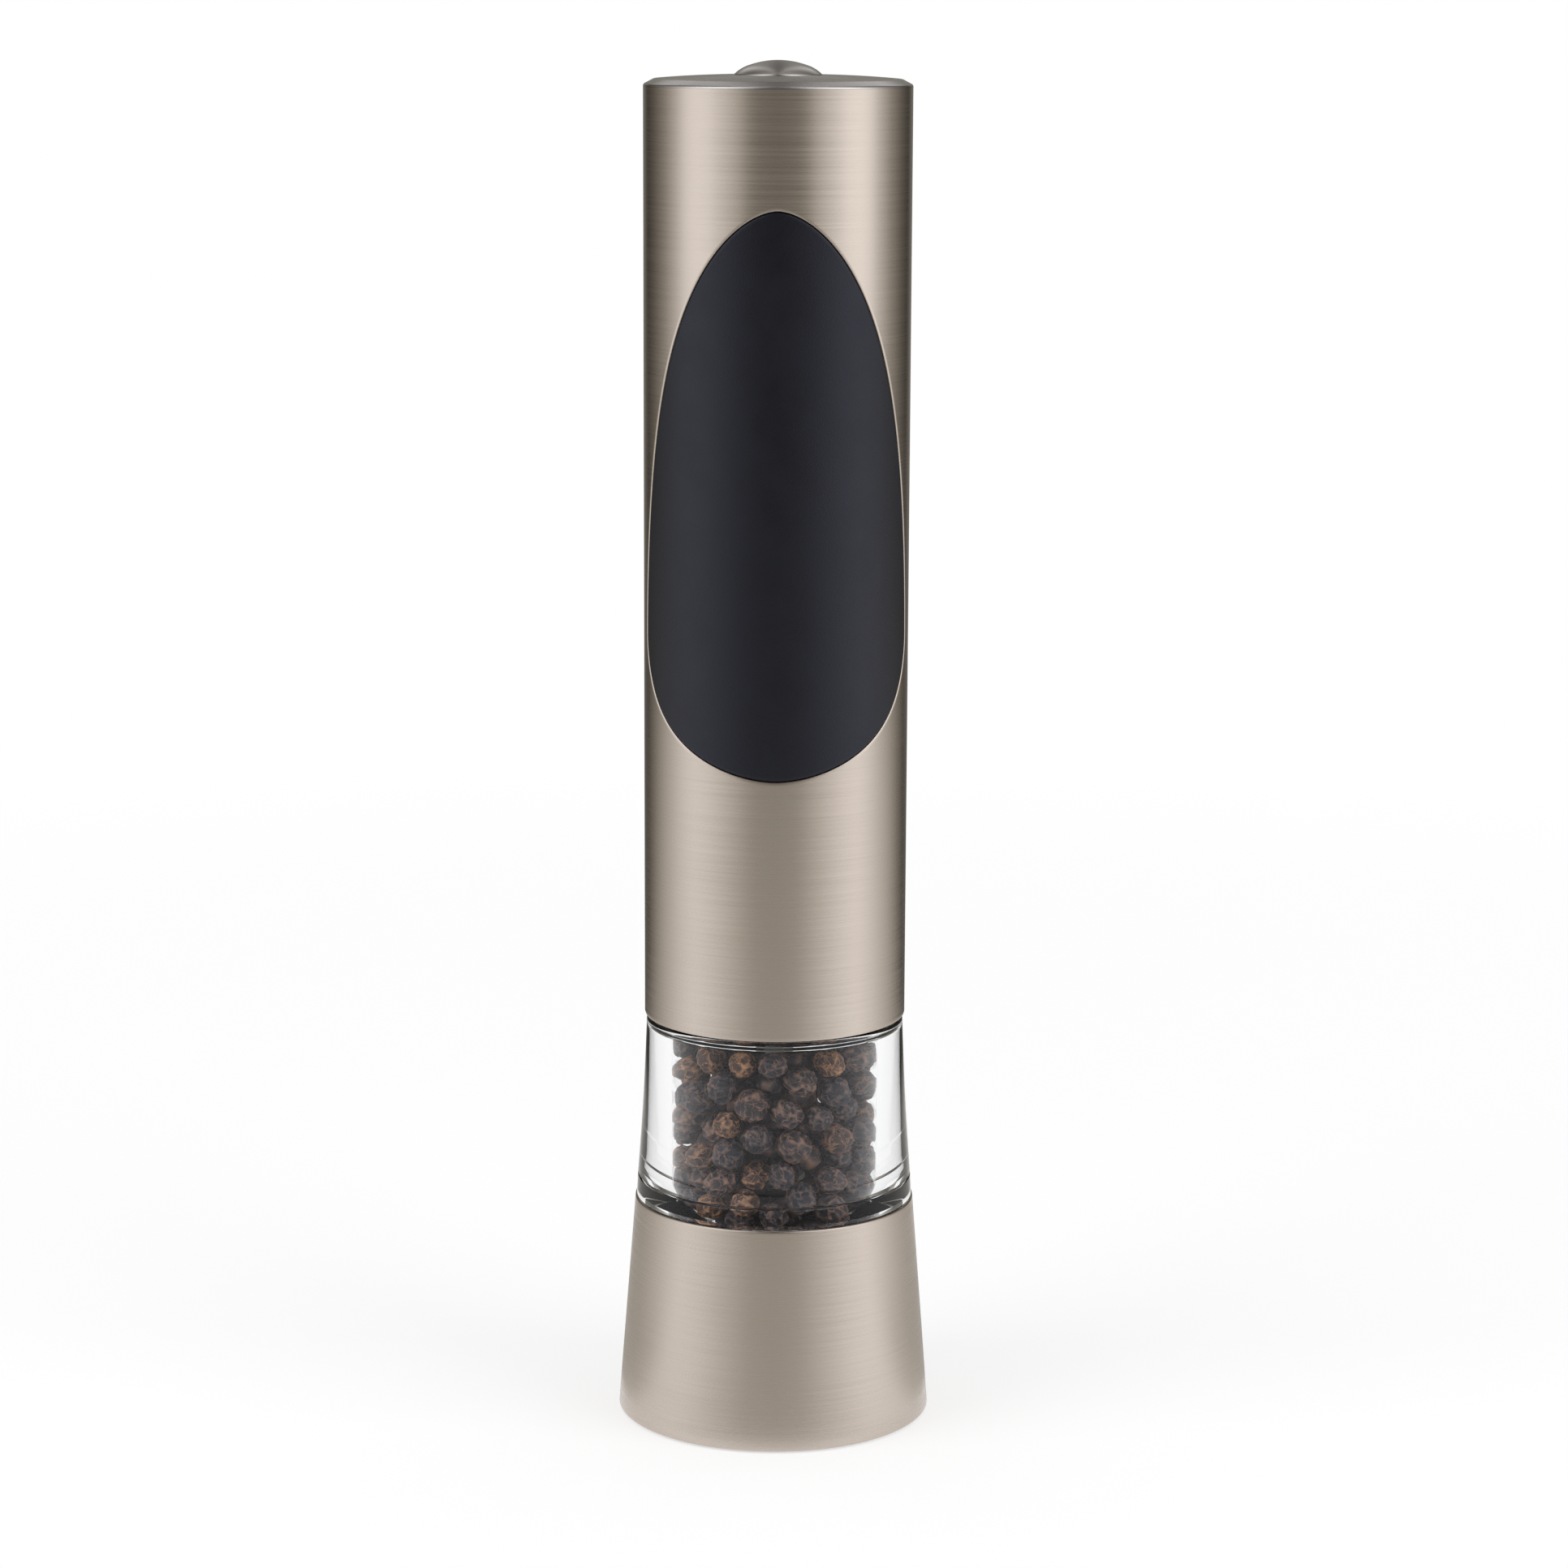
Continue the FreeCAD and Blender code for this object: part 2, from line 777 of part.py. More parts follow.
def screw_corners(place, head_face, way, tip):
    """A pan-head screw beside the axis, with its head on a face and its tip further along."""
    head = S.screw_head_height * way
    return [
        (place, head_face - head),
        (place + S.screw_head_radius * 0.8, head_face - head),
        (place + S.screw_head_radius, head_face - head * 0.4),
        (place + S.screw_head_radius, head_face),
        (place + S.screw_shank_radius, head_face),
        (place + S.screw_shank_radius, tip - S.screw_shank_radius * way),
        (place, tip),
    ]


def make_bridge_screws():
    body = new_body("bridge_screws")
    shank, sketch = turn(body, screw_corners(S.boss_circle, S.bridge_low, 1, S.bridge_screw_top),
                         axis_place=S.boss_circle)
    around(body, [shank], sketch, "V_Axis", S.screw_count)
    keep("bridge_screws", body)


def make_adjuster():
    body = new_body("adjuster_knob")
    turn(body, [(0, S.knob_disc_low), (S.knob_radius, S.knob_disc_low), (S.knob_radius, S.knob_top),
                (0, S.knob_top)])
    pad(body, S.knob_low, S.knob_disc_low - S.knob_low + 0.2,
        lambda s: rectangle(s, -S.knob_radius * 0.8, S.knob_radius * 0.8, -S.knob_bar_width / 2,
                            S.knob_bar_width / 2))
    flute, sketch = pocket(body, S.knob_top, S.knob_top - S.knob_disc_low,
                           lambda s: circle(s, S.knob_radius, 0, S.knob_flute_radius))
    around(body, [flute], sketch, "N_Axis", S.knob_flutes)
    pocket(body, S.knob_top, S.knob_top - S.stud_low,
           lambda s: circle(s, 0, 0, S.stud_radius + S.running_gap))
    keep("adjuster_knob", body)
    keep("adjuster_stud", cylinder("stud_rod", S.stud_radius, S.stud_low, S.stud_top))


def make_thrust_cup():
    block = hexagon("cup_block", S.cup_flats, S.cup_low, S.cup_top)
    thread = cylinder("cup_thread", S.stud_radius + S.running_gap, S.cup_low, S.cup_thread_top)
    pivot = cylinder("cup_pivot", S.pivot_radius + S.running_gap, S.cup_pivot_low, S.cup_top)
    holes = join("Fuse", "cup_holes", thread, pivot)
    keep("thrust_cup", join("Cut", "cup_cut", block, holes))


def make_drive_shaft():
    rod = hexagon("shaft_rod", S.shaft_flats, S.shaft_low, S.shaft_top)
    pivot = cylinder("shaft_pivot", S.pivot_radius, S.pivot_low, S.shaft_low)
    keep("drive_shaft", join("Fuse", "shaft_fuse", rod, pivot))
    turned("shaft_clip", [
        (S.clip_bore_radius, S.clip_low),
        (S.clip_radius, S.clip_low),
        (S.clip_radius, S.clip_low + S.clip_height),
        (S.clip_bore_radius, S.clip_low + S.clip_height),
    ])
    coil = spring_shape("cone_spring", SIZES["cone_spring_radius"], SIZES["cone_spring_wire"],
                        SIZES["cone_spring_low"], SIZES["cone_spring_top"], SIZES["cone_spring_turns"])
    keep("cone_spring", plain("cone_spring_coil", coil))


# Peppercorns, in staggered rings along the wall and inside it

def corn_stack(ring_radius, corn_radius, count, layer, low, top):
    corns = []
    layers = int((top - low) / layer) + 1
    for step in range(layers):
        for number in range(count):
            at = 2 * math.pi * (number + 0.5 * (step % 2)) / count
            spot = Vector(ring_radius * math.cos(at), ring_radius * math.sin(at), low + step * layer)
            corns.append(Part.makeSphere(corn_radius, spot))
    return corns


def make_peppercorns():
    corns = corn_stack(SIZES["corn_ring_radius"], SIZES["corn_radius"], SIZES["corn_ring_count"],
                       SIZES["corn_layer"], SIZES["corn_low"], SIZES["corn_top"])
    corns += corn_stack(SIZES["corn_inner_ring_radius"], SIZES["corn_radius"], SIZES["corn_inner_count"],
                        SIZES["corn_layer"], SIZES["corn_inner_low"], SIZES["corn_top"])
    keep("peppercorns", plain("corn_fill", Part.makeCompound(corns)))


# Gearbox

def make_coupling():
    turned("coupling_base", [
        (S.coupling_skirt_radius, S.coupling_low),
        (S.core_radius, S.coupling_low),
        (S.core_radius, S.coupling_top),
        (S.bush_radius + S.running_gap, S.coupling_top),
        (S.bush_radius + S.running_gap, S.coupling_plug_low),
        (S.coupling_plug_radius, S.coupling_plug_low),
        (S.coupling_plug_radius, S.coupling_roof),
        (S.coupling_skirt_radius, S.coupling_roof),
    ])
    turned("output_bush", [
        (S.output_radius + S.running_gap, S.coupling_plug_low),
        (S.bush_radius, S.coupling_plug_low),
        (S.bush_radius, S.coupling_top),
        (S.output_radius + S.running_gap, S.coupling_top),
    ])


def make_gearbox_case():
    pitch = SIZES["ring_teeth"] * SIZES["gear_module"] / 2
    half_tooth = math.pi / SIZES["ring_teeth"]
    face = toothed_face(SIZES["ring_teeth"], pitch - SIZES["gear_addendum"], pitch + SIZES["gear_dedendum"],
                        SIZES["gear_backlash"], half_tooth)
    hollow = face.extrude(Vector(0, 0, SIZES["case_top"] - SIZES["case_low"]))
    hollow.translate(Vector(0, 0, SIZES["case_low"]))
    teeth = plain("ring_gear_hollow", hollow)
    blank = cylinder("case_blank", S.core_radius, S.case_low, S.case_top)
    keep("gearbox_case", join("Cut", "case_cut", blank, teeth))


def drill_pins(body, top, depth):
    """Holes for the planets' pins in a carrier's plate."""
    distance = (S.sun_teeth + S.planet_teeth) * S.gear_module / 2
    hole, sketch = pocket(body, top, depth, lambda s: circle(s, distance, 0, S.planet_pin_radius + 0.01))
    around(body, [hole], sketch, "N_Axis", S.planet_count)


def make_pins(name, low, high):
    body = new_body(name)
    distance = (S.sun_teeth + S.planet_teeth) * S.gear_module / 2
    pin, sketch = pad(body, low, high - low, lambda s: circle(s, distance, 0, S.planet_pin_radius))
    around(body, [pin], sketch, "N_Axis", S.planet_count)
    keep(name, body)


def make_planets(stage, low, high):
    half_tooth = math.pi / SIZES["planet_teeth"]
    bore = SIZES["planet_pin_radius"] + SIZES["running_gap"]
    for number in range(1, SIZES["planet_count"] + 1):
        shape = gear_shape(SIZES["planet_teeth"], SIZES[low], SIZES[high], bore, half_tooth)
        planet = plain(f"{stage}_planet_{number}", shape)
        planet.Placement = planet_place(number)
        keep(f"planet_{stage}_{number}", planet)


def make_output_carrier():
    body = new_body("carrier_output")
    plate_top = S.second_carrier_low + S.carrier_wall
    turn(body, [
        (0, S.output_low),
        (S.output_radius, S.output_low),
        (S.output_radius, S.second_carrier_low),
        (S.carrier_radius, S.second_carrier_low),
        (S.carrier_radius, plate_top),
        (0, plate_top),
    ])
    drill_pins(body, plate_top, S.pin_sink)
    socket = hexagon("output_socket", S.shaft_flats + S.running_gap * 4, S.output_low, S.socket_top)
    keep("carrier_output", join("Cut", "output_cut", body, socket))
    make_pins("pins_second", plate_top - S.pin_sink, S.second_gear_top + S.pin_stand)
    make_planets("second", "second_gear_low", "second_gear_top")


def make_first_carrier():
    body = new_body("first_plate")
    plate_top = S.first_carrier_low + S.carrier_wall
    hub_radius = S.motor_shaft_radius + 2
    turn(body, [
        (0, S.first_carrier_low - S.pin_stand),
        (hub_radius, S.first_carrier_low - S.pin_stand),
        (hub_radius, S.first_carrier_low),
        (S.carrier_radius, S.first_carrier_low),
        (S.carrier_radius, plate_top),
        (0, plate_top),
    ])
    drill_pins(body, plate_top, S.pin_sink)
    sun = plain("second_sun", gear_shape(SIZES["sun_teeth"], SIZES["second_gear_low"],
                                         SIZES["first_carrier_low"], 0, 0))
    keep("carrier_first", join("Fuse", "first_fuse", body, sun))
    make_pins("pins_first", plate_top - S.pin_sink, S.first_gear_top + S.pin_stand)
    make_planets("first", "first_gear_low", "first_gear_top")


def make_gearbox_plate():
    body = new_body("gearbox_plate")
    turn(body, [
        (S.motor_boss_radius + S.liner_gap, S.case_top + S.cap_seam),
        (S.core_radius, S.case_top + S.cap_seam),
        (S.core_radius, S.plate_top),
        (S.motor_boss_radius + S.liner_gap, S.plate_top),
    ])
    hole, sketch = pocket(body, S.plate_top, S.plate_top - S.case_top,
                          lambda s: circle(s, S.motor_screw_place, 0, S.screw_hole_radius))
    around(body, [hole], sketch, "N_Axis", as_size(2))
    keep("gearbox_plate", body)


# Motor

def make_motor():
    body = new_body("motor_can")
    floor = S.motor_low + S.motor_wall
    turn(body, [
        (S.motor_shaft_radius + S.running_gap, S.motor_boss_low),
        (S.motor_boss_radius, S.motor_boss_low),
        (S.motor_boss_radius, S.motor_low),
        (S.motor_radius, S.motor_low),
        (S.motor_radius, S.motor_top),
        (S.motor_radius - S.motor_wall, S.motor_top),
        (S.motor_radius - S.motor_wall, floor),
        (S.motor_shaft_radius + S.running_gap, floor),
    ])
    hole, sketch = pocket(body, floor, S.motor_wall,
                          lambda s: circle(s, S.motor_screw_place, 0, S.screw_hole_radius))
    around(body, [hole], sketch, "N_Axis", as_size(2))
    keep("motor_can", body)
    make_motor_screws()
    make_magnets()
    make_end_cap()
    make_rotor()


def make_motor_screws():
    body = new_body("motor_screws")
    head = S.case_top + S.cap_seam
    shank, sketch = pad(body, head, S.motor_low + S.motor_wall - head,
                        lambda s: circle(s, S.motor_screw_place, 0, S.screw_shank_radius))
    around(body, [shank], sketch, "N_Axis", as_size(2))
    keep("motor_screws", body)


def make_magnets():
    body = new_body("motor_magnets")
    arc, sketch = turn(body, [
        (S.magnet_inner_radius, S.magnet_low),
        (S.magnet_outer_radius, S.magnet_low),
        (S.magnet_outer_radius, S.magnet_top),
        (S.magnet_inner_radius, S.magnet_top),
    ], Angle=S.magnet_angle)
    around(body, [arc], sketch, "V_Axis", as_size(2))
    keep("motor_magnets", body)


def make_end_cap():
    body = new_body("motor_end_cap")
    turn(body, [
        (0, S.end_cap_top),
        (0, S.motor_shaft_top + S.running_gap),
        (S.motor_shaft_radius + S.running_gap, S.motor_shaft_top + S.running_gap),
        (S.motor_shaft_radius + S.running_gap, S.end_cap_plug_low),
        (S.motor_radius - S.motor_wall - S.running_gap, S.end_cap_plug_low),
        (S.motor_radius - S.motor_wall - S.running_gap, S.motor_top + S.cap_seam),
        (S.motor_radius, S.motor_top + S.cap_seam),
        (S.motor_radius, S.end_cap_top),
    ])
    keep("motor_end_cap", body)
    tabs = new_body("motor_terminals")
    tab, sketch = pad(tabs, S.end_cap_top, S.terminal_top - S.end_cap_top,
                      lambda s: rectangle(s, S.terminal_place, S.terminal_place + S.terminal_thick,
                                          -S.terminal_width / 2, S.terminal_width / 2))
    around(tabs, [tab], sketch, "N_Axis", as_size(2))
    keep("motor_terminals", tabs)


def make_rotor():
    keep("motor_shaft", cylinder("rotor_rod", S.motor_shaft_radius, S.motor_shaft_low, S.motor_shaft_top))
    turned("motor_armature", [
        (S.motor_shaft_radius, S.armature_low),
        (S.armature_radius, S.armature_low),
        (S.armature_radius, S.armature_top),
        (S.commutator_radius, S.armature_top),
        (S.commutator_radius, S.commutator_top),
        (S.motor_shaft_radius, S.commutator_top),
    ])
    pinion = gear_shape(SIZES["sun_teeth"], SIZES["first_gear_low"], SIZES["first_gear_top"],
                        SIZES["motor_shaft_radius"], 0)
    keep("motor_pinion", plain("pinion_gear", pinion))


# Core halves round the motor

def make_core_half(name, turn_angle, screw_side):
    body = new_body(name)
    inner = S.core_radius - S.core_wall
    rib = S.motor_radius + S.rib_gap
    turn(body, [
        (S.core_radius, S.core_low),
        (S.core_radius, S.core_top),
        (inner, S.core_top),
        (inner, S.rib_high + S.rib_height),
        (rib, S.rib_high + S.rib_height),
        (rib, S.rib_high),
        (inner, S.rib_high),
        (inner, S.rib_low + S.rib_height),
        (rib, S.rib_low + S.rib_height),
        (rib, S.rib_low),
        (inner, S.rib_low),
        (inner, S.core_low),
    ], Angle=S.core_half_angle, Midplane=True)
    for side in (1, -1):
        pad(body, S.core_split, S.core_boss_reach - S.core_split,
            lambda s: circle(s, S.core_boss_place * side, S.core_boss_level, S.core_boss_radius), "YZ_Plane")
        pocket(body, S.core_boss_reach, S.core_boss_reach - S.core_split,
               lambda s: circle(s, S.core_boss_place * side, S.core_boss_level, S.screw_hole_radius),
               "YZ_Plane")
        if screw_side:
            pocket(body, S.core_radius, S.core_radius - S.core_screw_seat,
                   lambda s: circle(s, S.core_boss_place * side, S.core_boss_level, S.core_boss_radius),
                   "YZ_Plane")
    body.Placement = Placement(Vector(0, 0, 0), Rotation(Vector(0, 0, 1), turn_angle))
    keep(name, body)


def make_core_screws():
    body = new_body("core_screws")
    for side in (1, -1):
        place = S.core_boss_place * side
        pad(body, -S.core_screw_tip, S.core_screw_tip + S.core_screw_seat + 0.1,
            lambda s: circle(s, place, S.core_boss_level, S.screw_shank_radius), "YZ_Plane")
        pad(body, S.core_screw_seat + 0.05, S.screw_head_height,
            lambda s: circle(s, place, S.core_boss_level, S.screw_head_radius), "YZ_Plane")
    keep("core_screws", body)


# Battery carrier, cells and contacts

def make_battery_carrier():
    body = new_body("battery_carrier")
    turn(body, [
        (0, S.carrier_disc_low),
        (S.core_radius, S.carrier_disc_low),
        (S.core_radius, S.carrier_floor),
        (S.carrier_post_radius, S.carrier_floor),
        (S.carrier_post_radius, S.carrier_roof),
        (S.core_radius, S.carrier_roof),
        (S.core_radius, S.carrier_disc_top),
        (0, S.carrier_disc_top),
    ])
    fin, sketch = pad(body, S.carrier_floor, S.carrier_roof - S.carrier_floor,
                      lambda s: rectangle(s, -S.carrier_fin_width / 2, S.carrier_fin_width / 2, 0,
                                          S.carrier_fin_reach))
    around(body, [fin], sketch, "N_Axis", S.cell_count)
    keep("battery_carrier", body)


def make_cells(name, low, high, nub_low, nub_high, turn_angle):
    """Every second cell of the ring, with its nub at one end."""
    body = new_body(name)
    cell, sketch = pad(body, low, high - low, lambda s: circle(s, S.cell_circle, 0, S.cell_radius))
    nub, nub_sketch = pad(body, nub_low, nub_high - nub_low,
                          lambda s: circle(s, S.cell_circle, 0, S.cell_nub_radius))
    around(body, [cell, nub], sketch, "N_Axis", S.cell_count / 2)
    body.Placement = Placement(Vector(0, 0, 0), Rotation(Vector(0, 0, 1), turn_angle))
    keep(name, body)


def make_cell_springs(name, low, turn_angle):
    coils = []
    for number in range(3):
        coil = spring_shape(name, SIZES["cell_spring_radius"], SIZES["cell_spring_wire"], low,
                            low + SIZES["cell_spring_height"], SIZES["cell_spring_turns"],
                            SIZES["cell_circle"])
        coil.rotate(Vector(0, 0, 0), Vector(0, 0, 1), turn_angle + 120 * number)
        coils.append(coil)
    keep(name, plain(f"{name}_coils", Part.makeCompound(coils)))


def make_contacts(name, low, count, turn_angle):
    """Flat strips that bridge neighbouring cells."""
    body = new_body(name)
    middle = S.cell_circle * math.cos(math.radians(30))
    half_length = S.cell_circle / 2 + S.contact_overrun
    strip, sketch = pad(body, low, S.contact_thick,
                        lambda s: rectangle(s, middle - S.contact_width / 2, middle + S.contact_width / 2,
                                            -half_length, half_length))
    around(body, [strip], sketch, "N_Axis", count, 360 if count.number == 3 else 120)
    body.Placement = Placement(Vector(0, 0, 0), Rotation(Vector(0, 0, 1), turn_angle))
    keep(name, body)


def make_output_contacts(low):
    body = new_body("output_contacts")
    disc, sketch = pad(body, low, S.contact_thick,
                       lambda s: circle(s, S.cell_circle, 0, S.contact_width / 2))
    around(body, [disc], sketch, "N_Axis", as_size(2), 60)
    body.Placement = Placement(Vector(0, 0, 0), Rotation(Vector(0, 0, 1), -60))
    keep("output_contacts", body)


def make_battery():
    make_battery_carrier()
    mirror = S.carrier_floor + S.carrier_roof
    make_cells("cells_upright", S.cell_low, S.cell_top, S.cell_top - 1, S.cell_top + S.cell_nub, 0)
    make_cells("cells_inverted", mirror - S.cell_top, mirror - S.cell_low,
               mirror - S.cell_top - S.cell_nub, mirror - S.cell_top + 1, 60)
    low_strip = S.carrier_floor + S.running_gap
    high_strip = S.carrier_roof - S.running_gap - S.contact_thick
    make_contacts("lower_contacts", low_strip, as_size(3), 30)
    make_contacts("upper_contacts", high_strip, as_size(2), 90)
    make_output_contacts(high_strip)
    make_cell_springs("cell_springs_low", (low_strip + S.contact_thick + S.running_gap).number, 0)
    make_cell_springs("cell_springs_high",
                      (high_strip - S.running_gap - S.cell_spring_height).number, 60)


# Cap of the carrier and the switch

def make_switch():
    turned("carrier_cap", [
        (0, S.cap_disc_low),
        (S.core_radius, S.cap_disc_low),
        (S.core_radius, S.cap_disc_top - S.edge_round),
        (S.core_radius - S.edge_round, S.cap_disc_top),
        (0, S.cap_disc_top),
    ])
    body = new_body("switch_body")
    half = S.switch_side / 2
    pad(body, S.switch_low, S.switch_top - S.switch_low, lambda s: rectangle(s, -half, half, -half, half))
    pocket(body, S.switch_top, S.switch_top - S.switch_well_low,
           lambda s: circle(s, 0, 0, S.plunger_radius + S.running_gap))
    keep("switch_body", body)
    keep("switch_plunger", cylinder("plunger_rod", S.plunger_radius, S.plunger_low, S.plunger_top))


# Shell with its grip, cap and button

def grip_outline(distance, inset):
    """The egg outline seen square from the front on a plane at a distance from the mill's axis."""
    power = 2 / SIZES["grip_roundness"]
    points = []
    steps = 48
    for step in range(steps):
        angle = 2 * math.pi * step / steps
        across = math.copysign(abs(math.cos(angle)) ** power, math.cos(angle))
        up = math.copysign(abs(math.sin(angle)) ** power, math.sin(angle))
        height = SIZES["grip_rise"] if up > 0 else SIZES["grip_drop"]
        bearing = across * (SIZES["grip_half_arc"] - inset) / SIZES["shell_radius"]
        points.append(Vector(distance * math.tan(bearing), -distance,
                             SIZES["grip_middle"] + up * (height - inset)))
    curve = Part.BSplineCurve()
    curve.interpolate(points, PeriodicFlag=True, Parameters=[float(step) for step in range(steps + 1)])
    return Part.Wire([curve.toShape()])


def grip_wedge(name, inset):
    """A solid with the egg outline whose sides all point at the mill's axis."""
    near = grip_outline(2.0, inset)
    far = grip_outline(SIZES["shell_radius"] + 2, inset)
    return plain(name, Part.makeLoft([near, far], True, True))


def make_shell():
    tube = new_body("shell_tube")
    turn(tube, [
        (S.shell_radius - S.steel_wall, S.shell_low),
        (S.shell_radius - S.edge_round, S.shell_low, S.edge_round),
        (S.shell_radius, S.shell_low + S.edge_round),
        (S.shell_radius, S.shell_top),
        (S.shell_radius - S.steel_wall, S.shell_top),
    ])
    keep("shell_tube", join("Cut", "shell_cut", tube, grip_wedge("grip_opening", 0.0)))
    liner_radius = S.shell_radius - S.steel_wall - S.liner_gap
    skin = new_body("grip_skin")
    low = S.grip_middle - S.grip_drop - 1
    high = S.grip_middle + S.grip_rise + 1
    turn(skin, [
        (liner_radius + S.running_gap, low),
        (S.shell_radius, low),
        (S.shell_radius, high),
        (liner_radius + S.running_gap, high),
    ])
    keep("grip_panel", join("Common", "grip_common", skin, grip_wedge("grip_form", SIZES["grip_gap"])))
    turned("shell_liner", [
        (liner_radius - S.liner_wall, S.liner_low),
        (liner_radius, S.liner_low),
        (liner_radius, S.liner_top),
        (liner_radius - S.liner_wall, S.liner_top),
    ])
    make_top_cap(liner_radius)


def make_top_cap(skirt_radius):
    hole = S.button_radius + S.button_gap
    seat = S.shell_top + S.cap_seam
    turned("top_cap", [
        (hole, S.cap_crown_top - S.steel_wall),
        (skirt_radius - S.liner_wall, seat - S.steel_wall / 4),
        (skirt_radius - S.liner_wall, S.cap_skirt_low),
        (skirt_radius, S.cap_skirt_low),
        (skirt_radius, seat),
        (S.shell_radius, seat),
        (S.shell_radius, seat + S.cap_seam, S.edge_round * 8),
        (S.cap_rim_radius, S.cap_rim_top, S.cap_crown_curve),
        (hole, S.cap_crown_top),
    ])


def make_button():
    inner = S.button_radius - S.button_wall
    turned("button_dome", [
        (0, S.button_roof),
        (inner, S.button_roof),
        (inner, S.button_skirt_low),
        (S.button_radius, S.button_skirt_low),
        (S.button_radius, S.button_edge, S.button_edge_curve),
        (S.button_crown_radius, S.button_crown_edge, S.button_crown_curve),
        (S.button_flat_radius, S.height),
        (0, S.height),
    ])
    turned("button_stem", [
        (0, S.button_stem_low),
        (S.button_stem_radius, S.button_stem_low),
        (S.button_stem_radius, S.button_flange_low),
        (S.button_flange_radius, S.button_flange_low),
        (S.button_flange_radius, S.button_flange_top),
        (inner - S.running_gap, S.button_flange_top),
        (inner - S.running_gap, S.button_roof - S.running_gap),
        (0, S.button_roof - S.running_gap),
    ])
    guide_bore = S.button_radius + S.button_gap + S.running_gap
    cup = S.guide_radius - S.guide_wall
    turned("button_guide", [
        (S.guide_hole_radius, S.guide_floor_low),
        (S.guide_radius, S.guide_floor_low),
        (S.guide_radius, S.guide_top),
        (guide_bore, S.guide_top),
        (guide_bore, S.guide_stop),
        (cup, S.guide_stop),
        (cup, S.guide_floor_top),
        (S.guide_hole_radius, S.guide_floor_top),
    ])
    coil = spring_shape("button_spring", SIZES["button_spring_radius"], SIZES["button_spring_wire"],
                        SIZES["guide_floor_top"] + SIZES["running_gap"],
                        SIZES["button_flange_low"] - SIZES["running_gap"], SIZES["button_spring_turns"])
    keep("button_spring", plain("button_spring_coil", coil))


def make_all():
    make_base_sleeve()
    make_foot_ring()
    make_grinder_housing()
    make_chamber()
    make_neck_seal()
    make_ceramic_ring()
    make_ceramic_cone()
    make_bridge()
    make_bridge_screws()
    make_adjuster()
    make_thrust_cup()
    make_drive_shaft()
    make_peppercorns()
    make_coupling()
    make_gearbox_case()
    make_output_carrier()
    make_first_carrier()
    make_gearbox_plate()
    make_motor()
    make_core_half("core_half_right", 0, True)
    make_core_half("core_half_left", 180, False)
    make_core_screws()
    make_battery()
    make_switch()
    make_shell()
    make_button()
    document.recompute()


def write_all():
    """Checks every object and writes each sub-part to its own file."""
    for thing in document.Objects:
        if "Invalid" in thing.State or "Error" in thing.State:
            raise RuntimeError(f"{thing.Name} failed: {thing.State}")
    for name, thing in subparts.items():
        if thing.Shape.isNull() or not thing.Shape.isValid():
            raise RuntimeError(f"{name} has no valid shape")
    os.makedirs("parts", exist_ok=True)
    for name, thing in subparts.items():
        thing.Shape.exportStep(f"parts/{name}.step")
    print(f"{len(subparts)} sub-parts written")


make_all()
write_all()
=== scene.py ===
import json
import math
import random

import bmesh
import bpy
import numpy as np
from mathutils import Matrix, Vector, noise


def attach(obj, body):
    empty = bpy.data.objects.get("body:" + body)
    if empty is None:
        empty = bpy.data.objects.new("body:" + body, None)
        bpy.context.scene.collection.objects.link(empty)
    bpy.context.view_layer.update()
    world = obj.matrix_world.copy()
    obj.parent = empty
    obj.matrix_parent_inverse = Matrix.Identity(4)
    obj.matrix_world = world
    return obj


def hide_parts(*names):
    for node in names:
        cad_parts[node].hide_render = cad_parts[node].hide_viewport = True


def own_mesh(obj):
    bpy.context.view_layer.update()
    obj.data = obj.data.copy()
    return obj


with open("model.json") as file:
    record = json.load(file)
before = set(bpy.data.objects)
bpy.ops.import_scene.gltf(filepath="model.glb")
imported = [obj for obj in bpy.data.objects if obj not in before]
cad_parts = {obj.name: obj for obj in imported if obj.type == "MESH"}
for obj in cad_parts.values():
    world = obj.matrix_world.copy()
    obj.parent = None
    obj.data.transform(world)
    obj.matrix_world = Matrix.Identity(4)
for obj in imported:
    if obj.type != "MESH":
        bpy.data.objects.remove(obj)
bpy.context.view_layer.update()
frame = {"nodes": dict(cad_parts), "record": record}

MM = 0.001

# Counts of steps round and along the meshes
ROUND = 256
DOME_ROUND = 160
DOME_STEPS = 12
EDGE_STEPS = 160
# Degrees, millimetres and metres
SMOOTH_ANGLE = 35
ON_AXIS = 1e-6
MERGE_DISTANCE = 0.000002

# Sizes and levels of the outside and the bore, in millimetres
SHELL_RADIUS = 20.7
STEEL_WALL = 0.8
SHELL_LOW = 65.4
SHELL_TOP = 211.0
SHELL_LIP = 0.35
GRIP_MIDDLE = 127.0
GRIP_RISE = 66.1
GRIP_DROP = 20.6
GRIP_HALF_ARC = 27.3
GRIP_GAP = 0.14
GRIP_BEVEL = 0.16
GRIP_EDGE = 0.22
BORE_RADIUS = 16.7
BORE_LOW = 36.0
CAP_SEAT = 211.02
CAP_LOW = 203.62
BUTTON_HOLE = 7.2
BUTTON_RADIUS = 7.0
DOME_RADIUS = 13.2
DOME_CENTRE = 201.78
DOME_EDGE = 4.5
# Power of the grip's outline, and how far the funnel draws in for each millimetre down
GRIP_ROUNDNESS = 1.76
FUNNEL_SLOPE = 0.55
# Middle row of a rounded edge, as shares of its size along the wall and into it
LIP_MIDDLE = (0.3, 0.25)
BEVEL_MIDDLE = (0.4, 0.3)
GRIP_EDGE_MIDDLE = (0.35, 0.3)
# Largest share of a side that a rounded corner takes
CORNER_SHARE = 0.45
